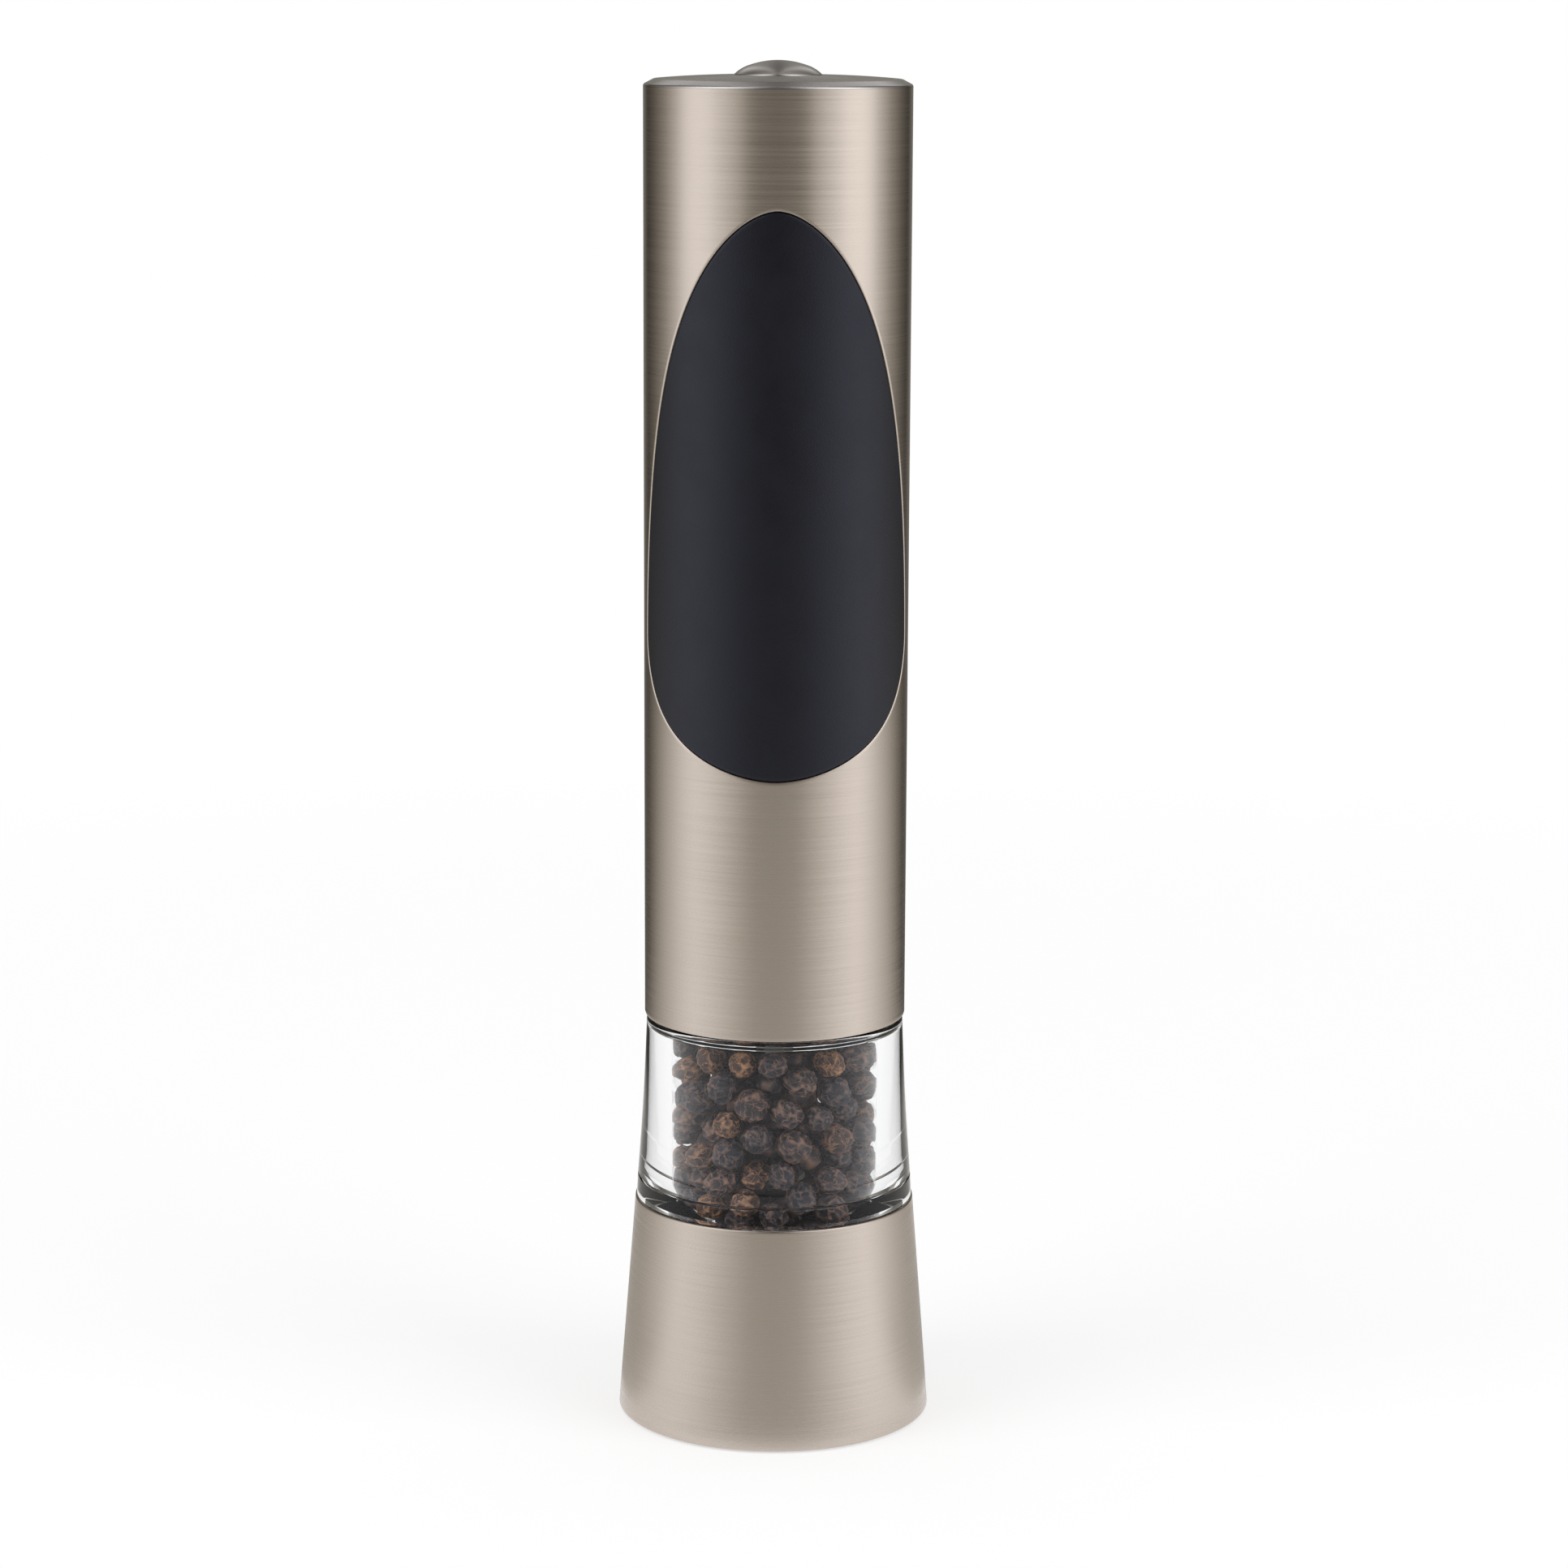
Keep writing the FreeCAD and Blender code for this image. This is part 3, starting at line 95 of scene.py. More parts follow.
# Width of the narrow faces that keep the shading of long faces true beside a rounded edge
GUARD = 0.4
GUARD_SHARE = 0.04


# Meshes

def add_object(name, vertices, faces, smooth_angle=SMOOTH_ANGLE):
    """An object from vertices in millimetres, with smooth shading between shallow angles."""
    mesh = bpy.data.meshes.new(name)
    scaled = [(x * MM, y * MM, z * MM) for x, y, z in vertices]
    mesh.from_pydata(scaled, [], faces)
    mesh.validate()
    mesh.shade_smooth()
    mesh.set_sharp_from_angle(angle=math.radians(smooth_angle))
    made = bpy.data.objects.new(name, mesh)
    bpy.context.scene.collection.objects.link(made)
    return made


def merge(made):
    """Joins vertices that lie on each other and faces outwards."""
    work = bmesh.new()
    work.from_mesh(made.data)
    bmesh.ops.remove_doubles(work, verts=work.verts, dist=MERGE_DISTANCE)
    bmesh.ops.recalc_face_normals(work, faces=work.faces)
    work.to_mesh(made.data)
    work.free()
    made.data.shade_smooth()
    made.data.set_sharp_from_angle(angle=math.radians(SMOOTH_ANGLE))


def place(made, body, slot, material, *nodes):
    """Hangs a piece on its body in place of the CAD nodes that it stands for."""
    made.data.materials.clear()
    made.data.materials.append(material)
    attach(made, body)
    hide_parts(*nodes)


def rounded(corners, steps=5):
    """A closed outline whose corners (radius, level, rounding) are rounded off."""
    points = []
    count = len(corners)
    for index, (across, up, radius) in enumerate(corners):
        here = Vector((across, up))
        if radius == 0:
            points.append(here)
            continue
        before = Vector(corners[index - 1][:2]) - here
        after = Vector(corners[(index + 1) % count][:2]) - here
        opening = before.angle(after)
        longest = (before.length * CORNER_SHARE, after.length * CORNER_SHARE)
        back = min(radius / math.tan(opening / 2), *longest)
        start = here + before.normalized() * back
        end = here + after.normalized() * back
        points.append(start + before.normalized() * min(GUARD, GUARD_SHARE * before.length))
        for step in range(steps + 1):
            share = step / steps
            points.append(start * (1 - share) ** 2 + here * 2 * share * (1 - share) + end * share ** 2)
        points.append(end + after.normalized() * min(GUARD, GUARD_SHARE * after.length))
    return [(point.x, point.y) for point in points]


def lathe(name, outline, segments=ROUND):
    """Turns a closed outline about the mill's axis. Points on the axis become one vertex each."""
    vertices = []
    rings = []
    for radius, level in outline:
        if radius < ON_AXIS:
            rings.append([len(vertices)] * segments)
            vertices.append((0, 0, level))
            continue
        first = len(vertices)
        rings.append(list(range(first, first + segments)))
        for step in range(segments):
            angle = 2 * math.pi * step / segments
            vertices.append((radius * math.cos(angle), radius * math.sin(angle), level))
    faces = []
    for index, ring in enumerate(rings):
        other = rings[(index + 1) % len(rings)]
        if ring[0] == ring[1] and other[0] == other[1]:
            continue
        for step in range(segments):
            following = (step + 1) % segments
            corners = [ring[step], ring[following], other[following], other[step]]
            faces.append(list(dict.fromkeys(corners)))
    return add_object(name, vertices, faces)


def arc(centre, radius, first, last, steps):
    """Points on an arc, with angles in degrees."""
    angles = [math.radians(first + (last - first) * step / steps) for step in range(steps + 1)]
    return [(centre[0] + radius * math.cos(a), centre[1] + radius * math.sin(a)) for a in angles]


def bow(start, end, sagitta, steps):
    """Points from start to end on a shallow curve that bulges to the right of the way by its sagitta."""
    way = Vector(end) - Vector(start)
    side = Vector((way.y, -way.x)).normalized()
    points = []
    for step in range(steps + 1):
        share = step / steps
        point = Vector(start) + way * share + side * (sagitta * 4 * share * (1 - share))
        points.append((point.x, point.y))
    return points


# Shader building

STREAK_DEPTH = 0.0000005
STREAK_TONE = 0.05
RING_DEPTH = 0.0000015
HAZE_DEPTH = 0.000003
WRINKLE_DEPTH = 0.00025


def new_material(name):
    """A material with its main shader."""
    material = bpy.data.materials.new(name)
    material.use_nodes = True
    nodes = material.node_tree.nodes
    return material, nodes, material.node_tree.links, nodes["Principled BSDF"]


def bare_material(name):
    """A material with nothing but its output."""
    material = bpy.data.materials.new(name)
    material.use_nodes = True
    nodes = material.node_tree.nodes
    nodes.clear()
    return material, nodes, material.node_tree.links, nodes.new("ShaderNodeOutputMaterial")


def mapped(nodes, links, scale):
    """Object coordinates, scaled along each axis."""
    coordinates = nodes.new("ShaderNodeTexCoord")
    mapping = nodes.new("ShaderNodeMapping")
    mapping.inputs["Scale"].default_value = scale
    links.new(coordinates.outputs["Object"], mapping.inputs["Vector"])
    return mapping.outputs["Vector"]


def noise_of(nodes, links, vector, scale, detail=3.0, roughness=0.55):
    texture = nodes.new("ShaderNodeTexNoise")
    texture.inputs["Scale"].default_value = scale
    texture.inputs["Detail"].default_value = detail
    texture.inputs["Roughness"].default_value = roughness
    links.new(vector, texture.inputs["Vector"])
    return texture.outputs["Fac"]


def ranged(nodes, links, value, low, high, source=(0.3, 0.7)):
    """A value spread over a new range."""
    spread = nodes.new("ShaderNodeMapRange")
    spread.inputs["From Min"].default_value = source[0]
    spread.inputs["From Max"].default_value = source[1]
    spread.inputs["To Min"].default_value = low
    spread.inputs["To Max"].default_value = high
    links.new(value, spread.inputs["Value"])
    return spread.outputs["Result"]


def ramp(nodes, links, value, *stops):
    """A value turned into colours at the given stops."""
    made = nodes.new("ShaderNodeValToRGB")
    elements = made.color_ramp.elements
    while len(elements) < len(stops):
        elements.new(0.5)
    for element, (position, colour) in zip(elements, stops):
        element.position = position
        element.color = (*colour, 1)
    links.new(value, made.inputs["Fac"])
    return made.outputs["Color"]


def bump(nodes, links, shader, height, distance):
    made = nodes.new("ShaderNodeBump")
    made.inputs["Strength"].default_value = 1.0
    made.inputs["Distance"].default_value = distance
    links.new(height, made.inputs["Height"])
    links.new(made.outputs["Normal"], shader.inputs["Normal"])


def shade(colour, factor):
    return tuple(channel * factor for channel in colour)


def moulded(name, colour, roughness, grain=900, depth=0.00003, specular=0.5, tint=(1, 1, 1)):
    """A moulded or cast surface with a fine grain."""
    material, nodes, links, shader = new_material(name)
    vector = mapped(nodes, links, (1, 1, 1))
    fine = noise_of(nodes, links, vector, grain * 3)
    broad = noise_of(nodes, links, vector, grain / 9)
    tones = ramp(nodes, links, broad, (0.25, shade(colour, 0.9)), (0.75, shade(colour, 1.1)))
    links.new(tones, shader.inputs["Base Color"])
    links.new(ranged(nodes, links, broad, roughness - 0.05, roughness + 0.05), shader.inputs["Roughness"])
    shader.inputs["Specular IOR Level"].default_value = specular
    shader.inputs["Specular Tint"].default_value = (*tint, 1)
    bump(nodes, links, shader, fine, depth)
    return material


def along_turning(nodes, links, shader):
    """Lays the grain round the mill's axis, so that highlights spread across it."""
    tangent = nodes.new("ShaderNodeTangent")
    tangent.direction_type = "RADIAL"
    tangent.axis = "Z"
    links.new(tangent.outputs["Tangent"], shader.inputs["Tangent"])
    shader.inputs["Anisotropic Rotation"].default_value = 0.25


def brushed(name, colour, roughness, stretch, anisotropy=0.0):
    """Metal with streaks that run along the axes with a small stretch."""
    material, nodes, links, shader = new_material(name)
    vector = mapped(nodes, links, stretch)
    streak = noise_of(nodes, links, vector, 1.0, detail=2.5, roughness=0.6)
    broad = noise_of(nodes, links, mapped(nodes, links, (1, 1, 1)), 45)
    tones = ramp(nodes, links, streak, (0.3, shade(colour, 1 - STREAK_TONE)),
                 (0.7, shade(colour, 1 + STREAK_TONE)))
    links.new(tones, shader.inputs["Base Color"])
    uneven = nodes.new("ShaderNodeMath")
    uneven.operation = "ADD"
    links.new(ranged(nodes, links, streak, -0.06, 0.06), uneven.inputs[0])
    links.new(ranged(nodes, links, broad, roughness - 0.02, roughness + 0.02), uneven.inputs[1])
    links.new(uneven.outputs["Value"], shader.inputs["Roughness"])
    shader.inputs["Metallic"].default_value = 1.0
    if anisotropy:
        shader.inputs["Anisotropic"].default_value = anisotropy
        along_turning(nodes, links, shader)
    bump(nodes, links, shader, streak, STREAK_DEPTH)
    return material


def spun(name, colour, roughness):
    """Metal with fine rings about the mill's axis."""
    material, nodes, links, shader = new_material(name)
    flat = mapped(nodes, links, (1, 1, 0))
    length = nodes.new("ShaderNodeVectorMath")
    length.operation = "LENGTH"
    links.new(flat, length.inputs[0])
    rings = nodes.new("ShaderNodeTexNoise")
    rings.noise_dimensions = "1D"
    rings.inputs["Scale"].default_value = 5200
    rings.inputs["Detail"].default_value = 3.0
    links.new(length.outputs["Value"], rings.inputs["W"])
    broad = noise_of(nodes, links, mapped(nodes, links, (1, 1, 1)), 120)
    tones = ramp(nodes, links, rings.outputs["Fac"], (0.3, shade(colour, 0.94)), (0.7, shade(colour, 1.06)))
    links.new(tones, shader.inputs["Base Color"])
    links.new(ranged(nodes, links, broad, roughness - 0.03, roughness + 0.03), shader.inputs["Roughness"])
    shader.inputs["Metallic"].default_value = 1.0
    shader.inputs["Anisotropic"].default_value = 0.7
    along_turning(nodes, links, shader)
    bump(nodes, links, shader, rings.outputs["Fac"], RING_DEPTH)
    return material


def clear(name):
    """Thick clear plastic with a faint unevenness."""
    material, nodes, links, shader = new_material(name)
    vector = mapped(nodes, links, (1, 1, 1))
    shader.inputs["Base Color"].default_value = (0.985, 0.99, 0.995, 1)
    shader.inputs["Transmission Weight"].default_value = 1.0
    shader.inputs["IOR"].default_value = 1.49
    shader.inputs["Specular Tint"].default_value = (0.45, 0.45, 0.48, 1)
    haze = ranged(nodes, links, noise_of(nodes, links, vector, 90), 0.0, 0.006)
    links.new(haze, shader.inputs["Roughness"])
    bump(nodes, links, shader, noise_of(nodes, links, vector, 140), HAZE_DEPTH)
    return material


def peppery(name):
    """Dried corns coloured by the height of their wrinkles: painted shade darkens the hollows, the browner
    ridges are partly the corns' own colour and partly painted highlight, and the bluish grey middle tones
    of the dark corns are painted sheen. Each corn has a tone of its own.
    """
    material, nodes, links, shader = new_material(name)
    ridge = nodes.new("ShaderNodeAttribute")
    ridge.attribute_name = "ridge"
    tone = nodes.new("ShaderNodeAttribute")
    tone.attribute_name = "tone"
    place_in_corn = mapped(nodes, links, (1, 1, 1))
    speck = noise_of(nodes, links, place_in_corn, 1500, detail=4.0)
    warp = nodes.new("ShaderNodeTexNoise")
    warp.inputs["Scale"].default_value = 650
    links.new(place_in_corn, warp.inputs["Vector"])
    warped = nodes.new("ShaderNodeVectorMath")
    warped.operation = "MULTIPLY_ADD"
    links.new(warp.outputs["Color"], warped.inputs[0])
    warped.inputs[1].default_value = (0.0016, 0.0016, 0.0016)
    links.new(place_in_corn, warped.inputs[2])
    net = nodes.new("ShaderNodeTexVoronoi")
    net.feature = "DISTANCE_TO_EDGE"
    net.inputs["Scale"].default_value = 560
    links.new(warped.outputs["Vector"], net.inputs["Vector"])
    crest = nodes.new("ShaderNodeMath")
    crest.operation = "MAXIMUM"
    links.new(ridge.outputs["Fac"], crest.inputs[0])
    links.new(ranged(nodes, links, net.outputs["Distance"], 1.0, 0.0, (0.0, 0.07)), crest.inputs[1])
    height = crest.outputs["Value"]
    # Colours by wrinkle height for dark and warm corns: painted shade in the hollows, ridges partly their
    # own brown and partly painted highlight, and in the dark corns a bluish grey middle tone that is
    # painted sheen.
    dark = ramp(nodes, links, height, (0.05, (0.011, 0.012, 0.018)), (0.4, (0.034, 0.035, 0.048)),
                (0.9, (0.20, 0.125, 0.10)))
    warm = ramp(nodes, links, height, (0.05, (0.05, 0.026, 0.017)), (0.4, (0.135, 0.065, 0.036)),
                (0.9, (0.55, 0.28, 0.13)))
    mixed = nodes.new("ShaderNodeMix")
    mixed.data_type = "RGBA"
    links.new(tone.outputs["Fac"], mixed.inputs["Factor"])
    links.new(dark, mixed.inputs["A"])
    links.new(warm, mixed.inputs["B"])
    links.new(mixed.outputs["Result"], shader.inputs["Base Color"])
    links.new(ranged(nodes, links, speck, 0.45, 0.7), shader.inputs["Roughness"])
    bump(nodes, links, shader, height, WRINKLE_DEPTH)
    return material


STEEL = (0.592, 0.521, 0.464)
TURNED_STRETCH = (30, 30, 4200)
looks = {
    "base_steel": brushed("base_steel", STEEL, 0.28, TURNED_STRETCH, anisotropy=0.85),
    "shell_steel": brushed("shell_steel", STEEL, 0.28, TURNED_STRETCH, anisotropy=0.85),
    "cap_steel": spun("cap_steel", (0.565, 0.535, 0.52), 0.26),
    "button_steel": spun("button_steel", (0.58, 0.54, 0.505), 0.24),
    "grip_black": moulded("grip_black", (0.0028, 0.0034, 0.0062), 0.41, grain=1500, depth=0.00004,
                          specular=0.54, tint=(0.79, 0.81, 1.0)),
    "chamber_clear": clear("chamber_clear"),
    "corn_dark": peppery("corn_dark"),
    "foot_rubber": moulded("foot_rubber", (0.035, 0.035, 0.038), 0.75),
    "seal_rubber": moulded("seal_rubber", (0.04, 0.04, 0.043), 0.5, grain=600),
    "black_plastic": moulded("black_plastic", (0.035, 0.035, 0.039), 0.48),
    "grey_plastic": moulded("grey_plastic", (0.24, 0.245, 0.25), 0.46),
    "gear_nylon": moulded("gear_nylon", (0.74, 0.72, 0.66), 0.42),
    "burr_ceramic": moulded("burr_ceramic", (0.82, 0.80, 0.76), 0.5, grain=1400),
    "plain_steel": brushed("plain_steel", (0.56, 0.56, 0.57), 0.3, (300, 300, 900)),
    "spring_steel": brushed("spring_steel", (0.5, 0.5, 0.52), 0.28, (900, 900, 900)),
    "bush_brass": brushed("bush_brass", (0.68, 0.49, 0.22), 0.35, (500, 500, 500)),
    "contact_brass": brushed("contact_brass", (0.72, 0.58, 0.32), 0.3, (200, 1200, 200)),
    "cell_jacket": brushed("cell_jacket", (0.34, 0.36, 0.40), 0.36, (400, 400, 60)),
    "magnet_ferrite": moulded("magnet_ferrite", (0.07, 0.07, 0.075), 0.6),
    "armature_iron": brushed("armature_iron", (0.42, 0.25, 0.15), 0.42, (40, 40, 2500)),
}
for entry in frame["record"]["subparts"]:
    cad_node = frame["nodes"][entry["node"]]
    cad_node.data.materials.clear()
    cad_node.data.materials.append(looks[entry["material_slot"]])


# Base, foot and chamber, with outlines of (radius, level) or (radius, level, rounding)

def build_base():
    sleeve = rounded([(25.0, 0.32, 0.3), (22.25, 35.38, 0.45), (21.46, 35.38, 0.2), (24.2, 0.32, 0.2)])
    place(lathe("base_sleeve_turned", sleeve), "base", "base_steel", looks["base_steel"], "base_sleeve")
    foot = rounded([(22.0, 0.0, 0.2), (23.85, 0.0, 0.35), (23.9, 2.2, 0.1), (22.0, 2.2, 0.1)])
    place(lathe("foot_ring_turned", foot), "base", "foot_rubber", looks["foot_rubber"], "foot_ring")


def build_chamber():
    grooved_foot = [(22.05, 35.62), (21.88, 38.68), (21.72, 38.84), (21.68, 38.92), (21.72, 39.0),
                    (21.86, 39.14)]
    flare = bow((21.85, 39.3), (20.4, 64.2), -0.14, 24)
    shoulder = arc((19.5, 64.3), 0.9, 0, 90, 8)
    neck_and_bore = rounded([(16.6, 65.2, 0.15), (16.6, 67.65, 0), (15.6, 67.65, 0), (15.6, 69.55, 0),
                             (16.6, 69.55, 0), (16.6, 72.0, 0.5), (14.6, 72.0, 0.3), (14.6, 65.6, 0.4),
                             (BORE_RADIUS, 63.2, 0.8), (BORE_RADIUS, BORE_LOW, 12.0), (11.2, 26.0, 0)], 4)
    bottom = [(19.6, 26.0), (19.6, 35.62)]
    outline = grooved_foot + flare + shoulder + neck_and_bore + bottom
    chamber = lathe("pepper_chamber_turned", outline)
    place(chamber, "base", "chamber_clear", looks["chamber_clear"], "pepper_chamber")
    chamber.visible_shadow = False


# Peppercorns, packed at random between the shaft and the chamber's bore

CORN_SEED = 11
CORN_COUNT = 208
# Sizes and levels in millimetres, with shares of a corn's radius
CORN_RADII = (2.3, 2.95)
CORN_STRETCH = (0.86, 1.04)
CORN_TURN = (0, 6.28)
CORN_LOW = 28.5
CORN_TOP = 62.7
START_REACH = 5.0
START_ROOM = 2
PUSH_ROUNDS = 600
PUSH_SHARE = 0.35
TOUCH_SHARE = 0.97
SHAFT_ROOM = 3.1
CLIP_ROOM = 5.3
CLIP_TOP = 38.8
WALL_SHARE = 0.88
FUNNEL_SHARE = 1.05
FUNNEL_ROOM = 1
WALL_ROOM = 0.12
WALL_BAND = 2.2
# Wrinkles and lumps of a ball with a radius of 1
BALL_KINDS = range(1, 9)
BALL_SHIFT = (7.3, 3.1, 5.7)
BALL_CORE = 0.85
LUMP_SCALE = 1.1
LUMP_HEIGHT = 0.10
RIDGE_HEIGHT = 0.14
RIDGE_SCALE = 1.25
WARP_SCALE = 1.9
WARP_REACH = 0.28
BROAD_WIDTH = 0.13
BROAD_SHARE = 0.72
FINE_SCALE = 2.3
FINE_WIDTH = 0.12
FINE_SHARE = 0.22
GRAIN_SCALE = 4
GRAIN_SHARE = 0.12
FINE_BALL = 4
PLAIN_BALL = 2
# Share of dark corns, and the tones of dark and warm ones
DARK_SHARE = 0.76
DARK_TONES = (0.0, 0.3)
WARM_TONES = (0.5, 1.0)


def bore_at(level):
    """Radius of the chamber's bore and funnel at a level."""
    return BORE_RADIUS - np.clip(BORE_LOW - level, 0, None) * FUNNEL_SLOPE


def pack_corns(chance):
    """Centres and radii of corns that have been pushed apart until they rest side by side."""
    radii = np.array([chance.uniform(*CORN_RADII) for _ in range(CORN_COUNT)])
    centres = []
    for radius in radii:
        angle = chance.uniform(0, 2 * math.pi)
        reach = math.sqrt(chance.uniform(START_REACH ** 2, (BORE_RADIUS - radius) ** 2))
        level = chance.uniform(CORN_LOW + START_ROOM, CORN_TOP - START_ROOM)
        centres.append((reach * math.cos(angle), reach * math.sin(angle), level))
    centres = np.array(centres)
    for _ in range(PUSH_ROUNDS):
        gaps = centres[:, None, :] - centres[None, :, :]
        lengths = np.linalg.norm(gaps, axis=2) + np.eye(CORN_COUNT)
        overlap = np.clip((radii[:, None] + radii[None, :]) * TOUCH_SHARE - lengths, 0, None)
        np.fill_diagonal(overlap, 0)
        centres += PUSH_SHARE * (gaps / lengths[:, :, None] * overlap[:, :, None]).sum(axis=1)
        reach = np.linalg.norm(centres[:, :2], axis=1)
        inside = np.where(centres[:, 2] < CLIP_TOP + radii, CLIP_ROOM, SHAFT_ROOM) + radii
        in_funnel = centres[:, 2] < BORE_LOW + FUNNEL_ROOM
        wall = bore_at(centres[:, 2]) - np.where(in_funnel, FUNNEL_SHARE, WALL_SHARE) * radii
        wanted = np.clip(reach, np.minimum(inside, wall), wall)
        centres[:, :2] *= (wanted / reach)[:, None]
        centres[:, 2] = np.clip(centres[:, 2], CORN_LOW + radii, CORN_TOP - radii)
    return centres, radii


def wrinkled_ball(seed, detail):
    """A unit ball with a net of ridges, and how high each vertex stands on them."""
    work = bmesh.new()
    bmesh.ops.create_icosphere(work, subdivisions=detail, radius=1.0)
    points = np.array([vertex.co for vertex in work.verts])
    faces = np.array([[vertex.index for vertex in face.verts] for face in work.faces])
    work.free()
    shift = Vector([seed * step for step in BALL_SHIFT])
    heights = []
    for point in points:
        spot = Vector(point) * RIDGE_SCALE + shift
        spot += noise.noise_vector(spot * WARP_SCALE) * WARP_REACH
        broad = noise.voronoi(spot)[0]
        fine = noise.voronoi(spot * FINE_SCALE + shift)[0]
        broad_ridge = math.exp(-((broad[1] - broad[0]) / BROAD_WIDTH) ** 2)
        fine_ridge = math.exp(-((fine[1] - fine[0]) / FINE_WIDTH) ** 2)
        grain = noise.noise(spot * GRAIN_SCALE)
        heights.append(BROAD_SHARE * broad_ridge + FINE_SHARE * fine_ridge + GRAIN_SHARE * grain)
    heights = np.clip(np.array(heights), 0, 1)
    lumps = np.array([noise.noise(Vector(point) * LUMP_SCALE + shift) for point in points])
    reach = BALL_CORE + RIDGE_HEIGHT * heights + LUMP_HEIGHT * lumps
    return points * reach[:, None], faces, heights


def build_corns():
    chance = random.Random(CORN_SEED)
    noise.seed_set(CORN_SEED)
    centres, radii = pack_corns(chance)
    fine_balls = [wrinkled_ball(seed, FINE_BALL) for seed in BALL_KINDS]
    plain_balls = [wrinkled_ball(seed, PLAIN_BALL) for seed in BALL_KINDS]
    vertices, faces, ridges, tones = [], [], [], []
    start = 0
    for centre, radius in zip(centres, radii):
        near_wall = math.hypot(centre[0], centre[1]) + radius > BORE_RADIUS - WALL_BAND
        points, ball_faces, heights = chance.choice(fine_balls if near_wall else plain_balls)
        tilt = Matrix.Rotation(chance.uniform(*CORN_TURN), 3, "X")
        spin = tilt @ Matrix.Rotation(chance.uniform(*CORN_TURN), 3, "Z")
        stretch = [chance.uniform(*CORN_STRETCH) for _ in range(3)]
        turned = (points * stretch) @ np.array(spin).T
        spots = turned * radius + centre
        limit = bore_at(spots[:, 2]) - WALL_ROOM
        spots[:, :2] *= np.minimum(1, limit / np.linalg.norm(spots[:, :2], axis=1))[:, None]
        vertices.append(spots)
        faces.append(ball_faces + start)
        ridges.append(heights)
        tone_range = DARK_TONES if chance.random() < DARK_SHARE else WARM_TONES
        tones.append(np.full(len(points), chance.uniform(*tone_range)))
        start += len(points)
    all_vertices = np.concatenate(vertices).tolist()
    all_faces = np.concatenate(faces).tolist()
    corns = add_object("peppercorn_fill", all_vertices, all_faces, smooth_angle=180)
    for name, values in (("ridge", ridges), ("tone", tones)):
        layer = corns.data.attributes.new(name, "FLOAT", "POINT")
        layer.data.foreach_set("value", np.concatenate(values).astype(np.float32))
    place(corns, "base", "corn_dark", looks["corn_dark"], "peppercorns")


# Shell with the egg-shaped opening, and the grip panel in it

def egg_edge(upper, inset):
    """Points (arc length, level) along one half of the egg outline, moved in by an inset."""
    power = 2 / GRIP_ROUNDNESS
    rise = GRIP_RISE if upper else GRIP_DROP
    points = []
    for step in range(EDGE_STEPS + 1):
        angle = math.pi * step / EDGE_STEPS
        side = -math.copysign(abs(math.cos(angle)) ** power, math.cos(angle))
        across = side * (GRIP_HALF_ARC - inset)
        up = abs(math.sin(angle)) ** power * (rise - inset)
        points.append((across, GRIP_MIDDLE + (up if upper else -up)))
    return points


def on_shell(spot, radius):
    """A place on a cylinder, from the arc length along the shell and the level. The front faces -Y."""
    angle = spot[0] / SHELL_RADIUS
    return (radius * math.sin(angle), -radius * math.cos(angle), spot[1])


def build_shell():
    inner = SHELL_RADIUS - STEEL_WALL
    vertices, faces = [], []

    def strip(rows):
        """Joins rows of equal length into a sheet of quads."""
        index = []
        for row in rows:
            index.append(list(range(len(vertices), len(vertices) + len(row))))
            vertices.extend(row)
        for low, high in zip(index, index[1:]):
            for step in range(len(low) - 1):
                faces.append((low[step], low[step + 1], high[step + 1], high[step]))

    end_rows = {
        True: [(SHELL_TOP, SHELL_RADIUS), (SHELL_TOP, inner)],
        False: [(SHELL_LOW + SHELL_LIP + GUARD, SHELL_RADIUS),
                (SHELL_LOW + SHELL_LIP, SHELL_RADIUS),
                (SHELL_LOW + LIP_MIDDLE[0] * SHELL_LIP, SHELL_RADIUS - LIP_MIDDLE[1] * SHELL_LIP),
                (SHELL_LOW, SHELL_RADIUS - SHELL_LIP),
                (SHELL_LOW, inner)],
    }
    side_start = GRIP_HALF_ARC + GRIP_BEVEL + GUARD
    back_arc = 2 * (math.pi * SHELL_RADIUS) - 2 * side_start
    arcs = [side_start + back_arc * step / EDGE_STEPS for step in range(EDGE_STEPS + 1)]
    for upper in (True, False):
        outline = egg_edge(upper, -GRIP_BEVEL - GUARD)
        opening = egg_edge(upper, 0.0)
        half_bevel = egg_edge(upper, -BEVEL_MIDDLE[0] * GRIP_BEVEL)
        rows = [[on_shell(spot, inner) for spot in opening],
                [on_shell(spot, SHELL_RADIUS - GRIP_BEVEL) for spot in opening],
                [on_shell(spot, SHELL_RADIUS - BEVEL_MIDDLE[1] * GRIP_BEVEL) for spot in half_bevel],
                [on_shell(spot, SHELL_RADIUS) for spot in egg_edge(upper, -GRIP_BEVEL)],
                [on_shell(spot, SHELL_RADIUS) for spot in outline]]
        for level, radius in end_rows[upper]:
            rows.append([on_shell((spot[0], level), radius) for spot in outline])
        rows.append([on_shell(spot, inner) for spot in opening])
        strip(rows if not upper else [list(reversed(row)) for row in rows])
        rows = [[on_shell((spot, GRIP_MIDDLE), SHELL_RADIUS) for spot in arcs]]
        rows += [[on_shell((spot, level), radius) for spot in arcs] for level, radius in end_rows[upper]]
        rows.append([on_shell((spot, GRIP_MIDDLE), inner) for spot in arcs])
        strip(rows if not upper else [list(reversed(row)) for row in rows])
    shell = add_object("shell_tube_turned", vertices, faces)
    merge(shell)
    place(shell, "shell", "shell_steel", looks["shell_steel"], "shell_tube")


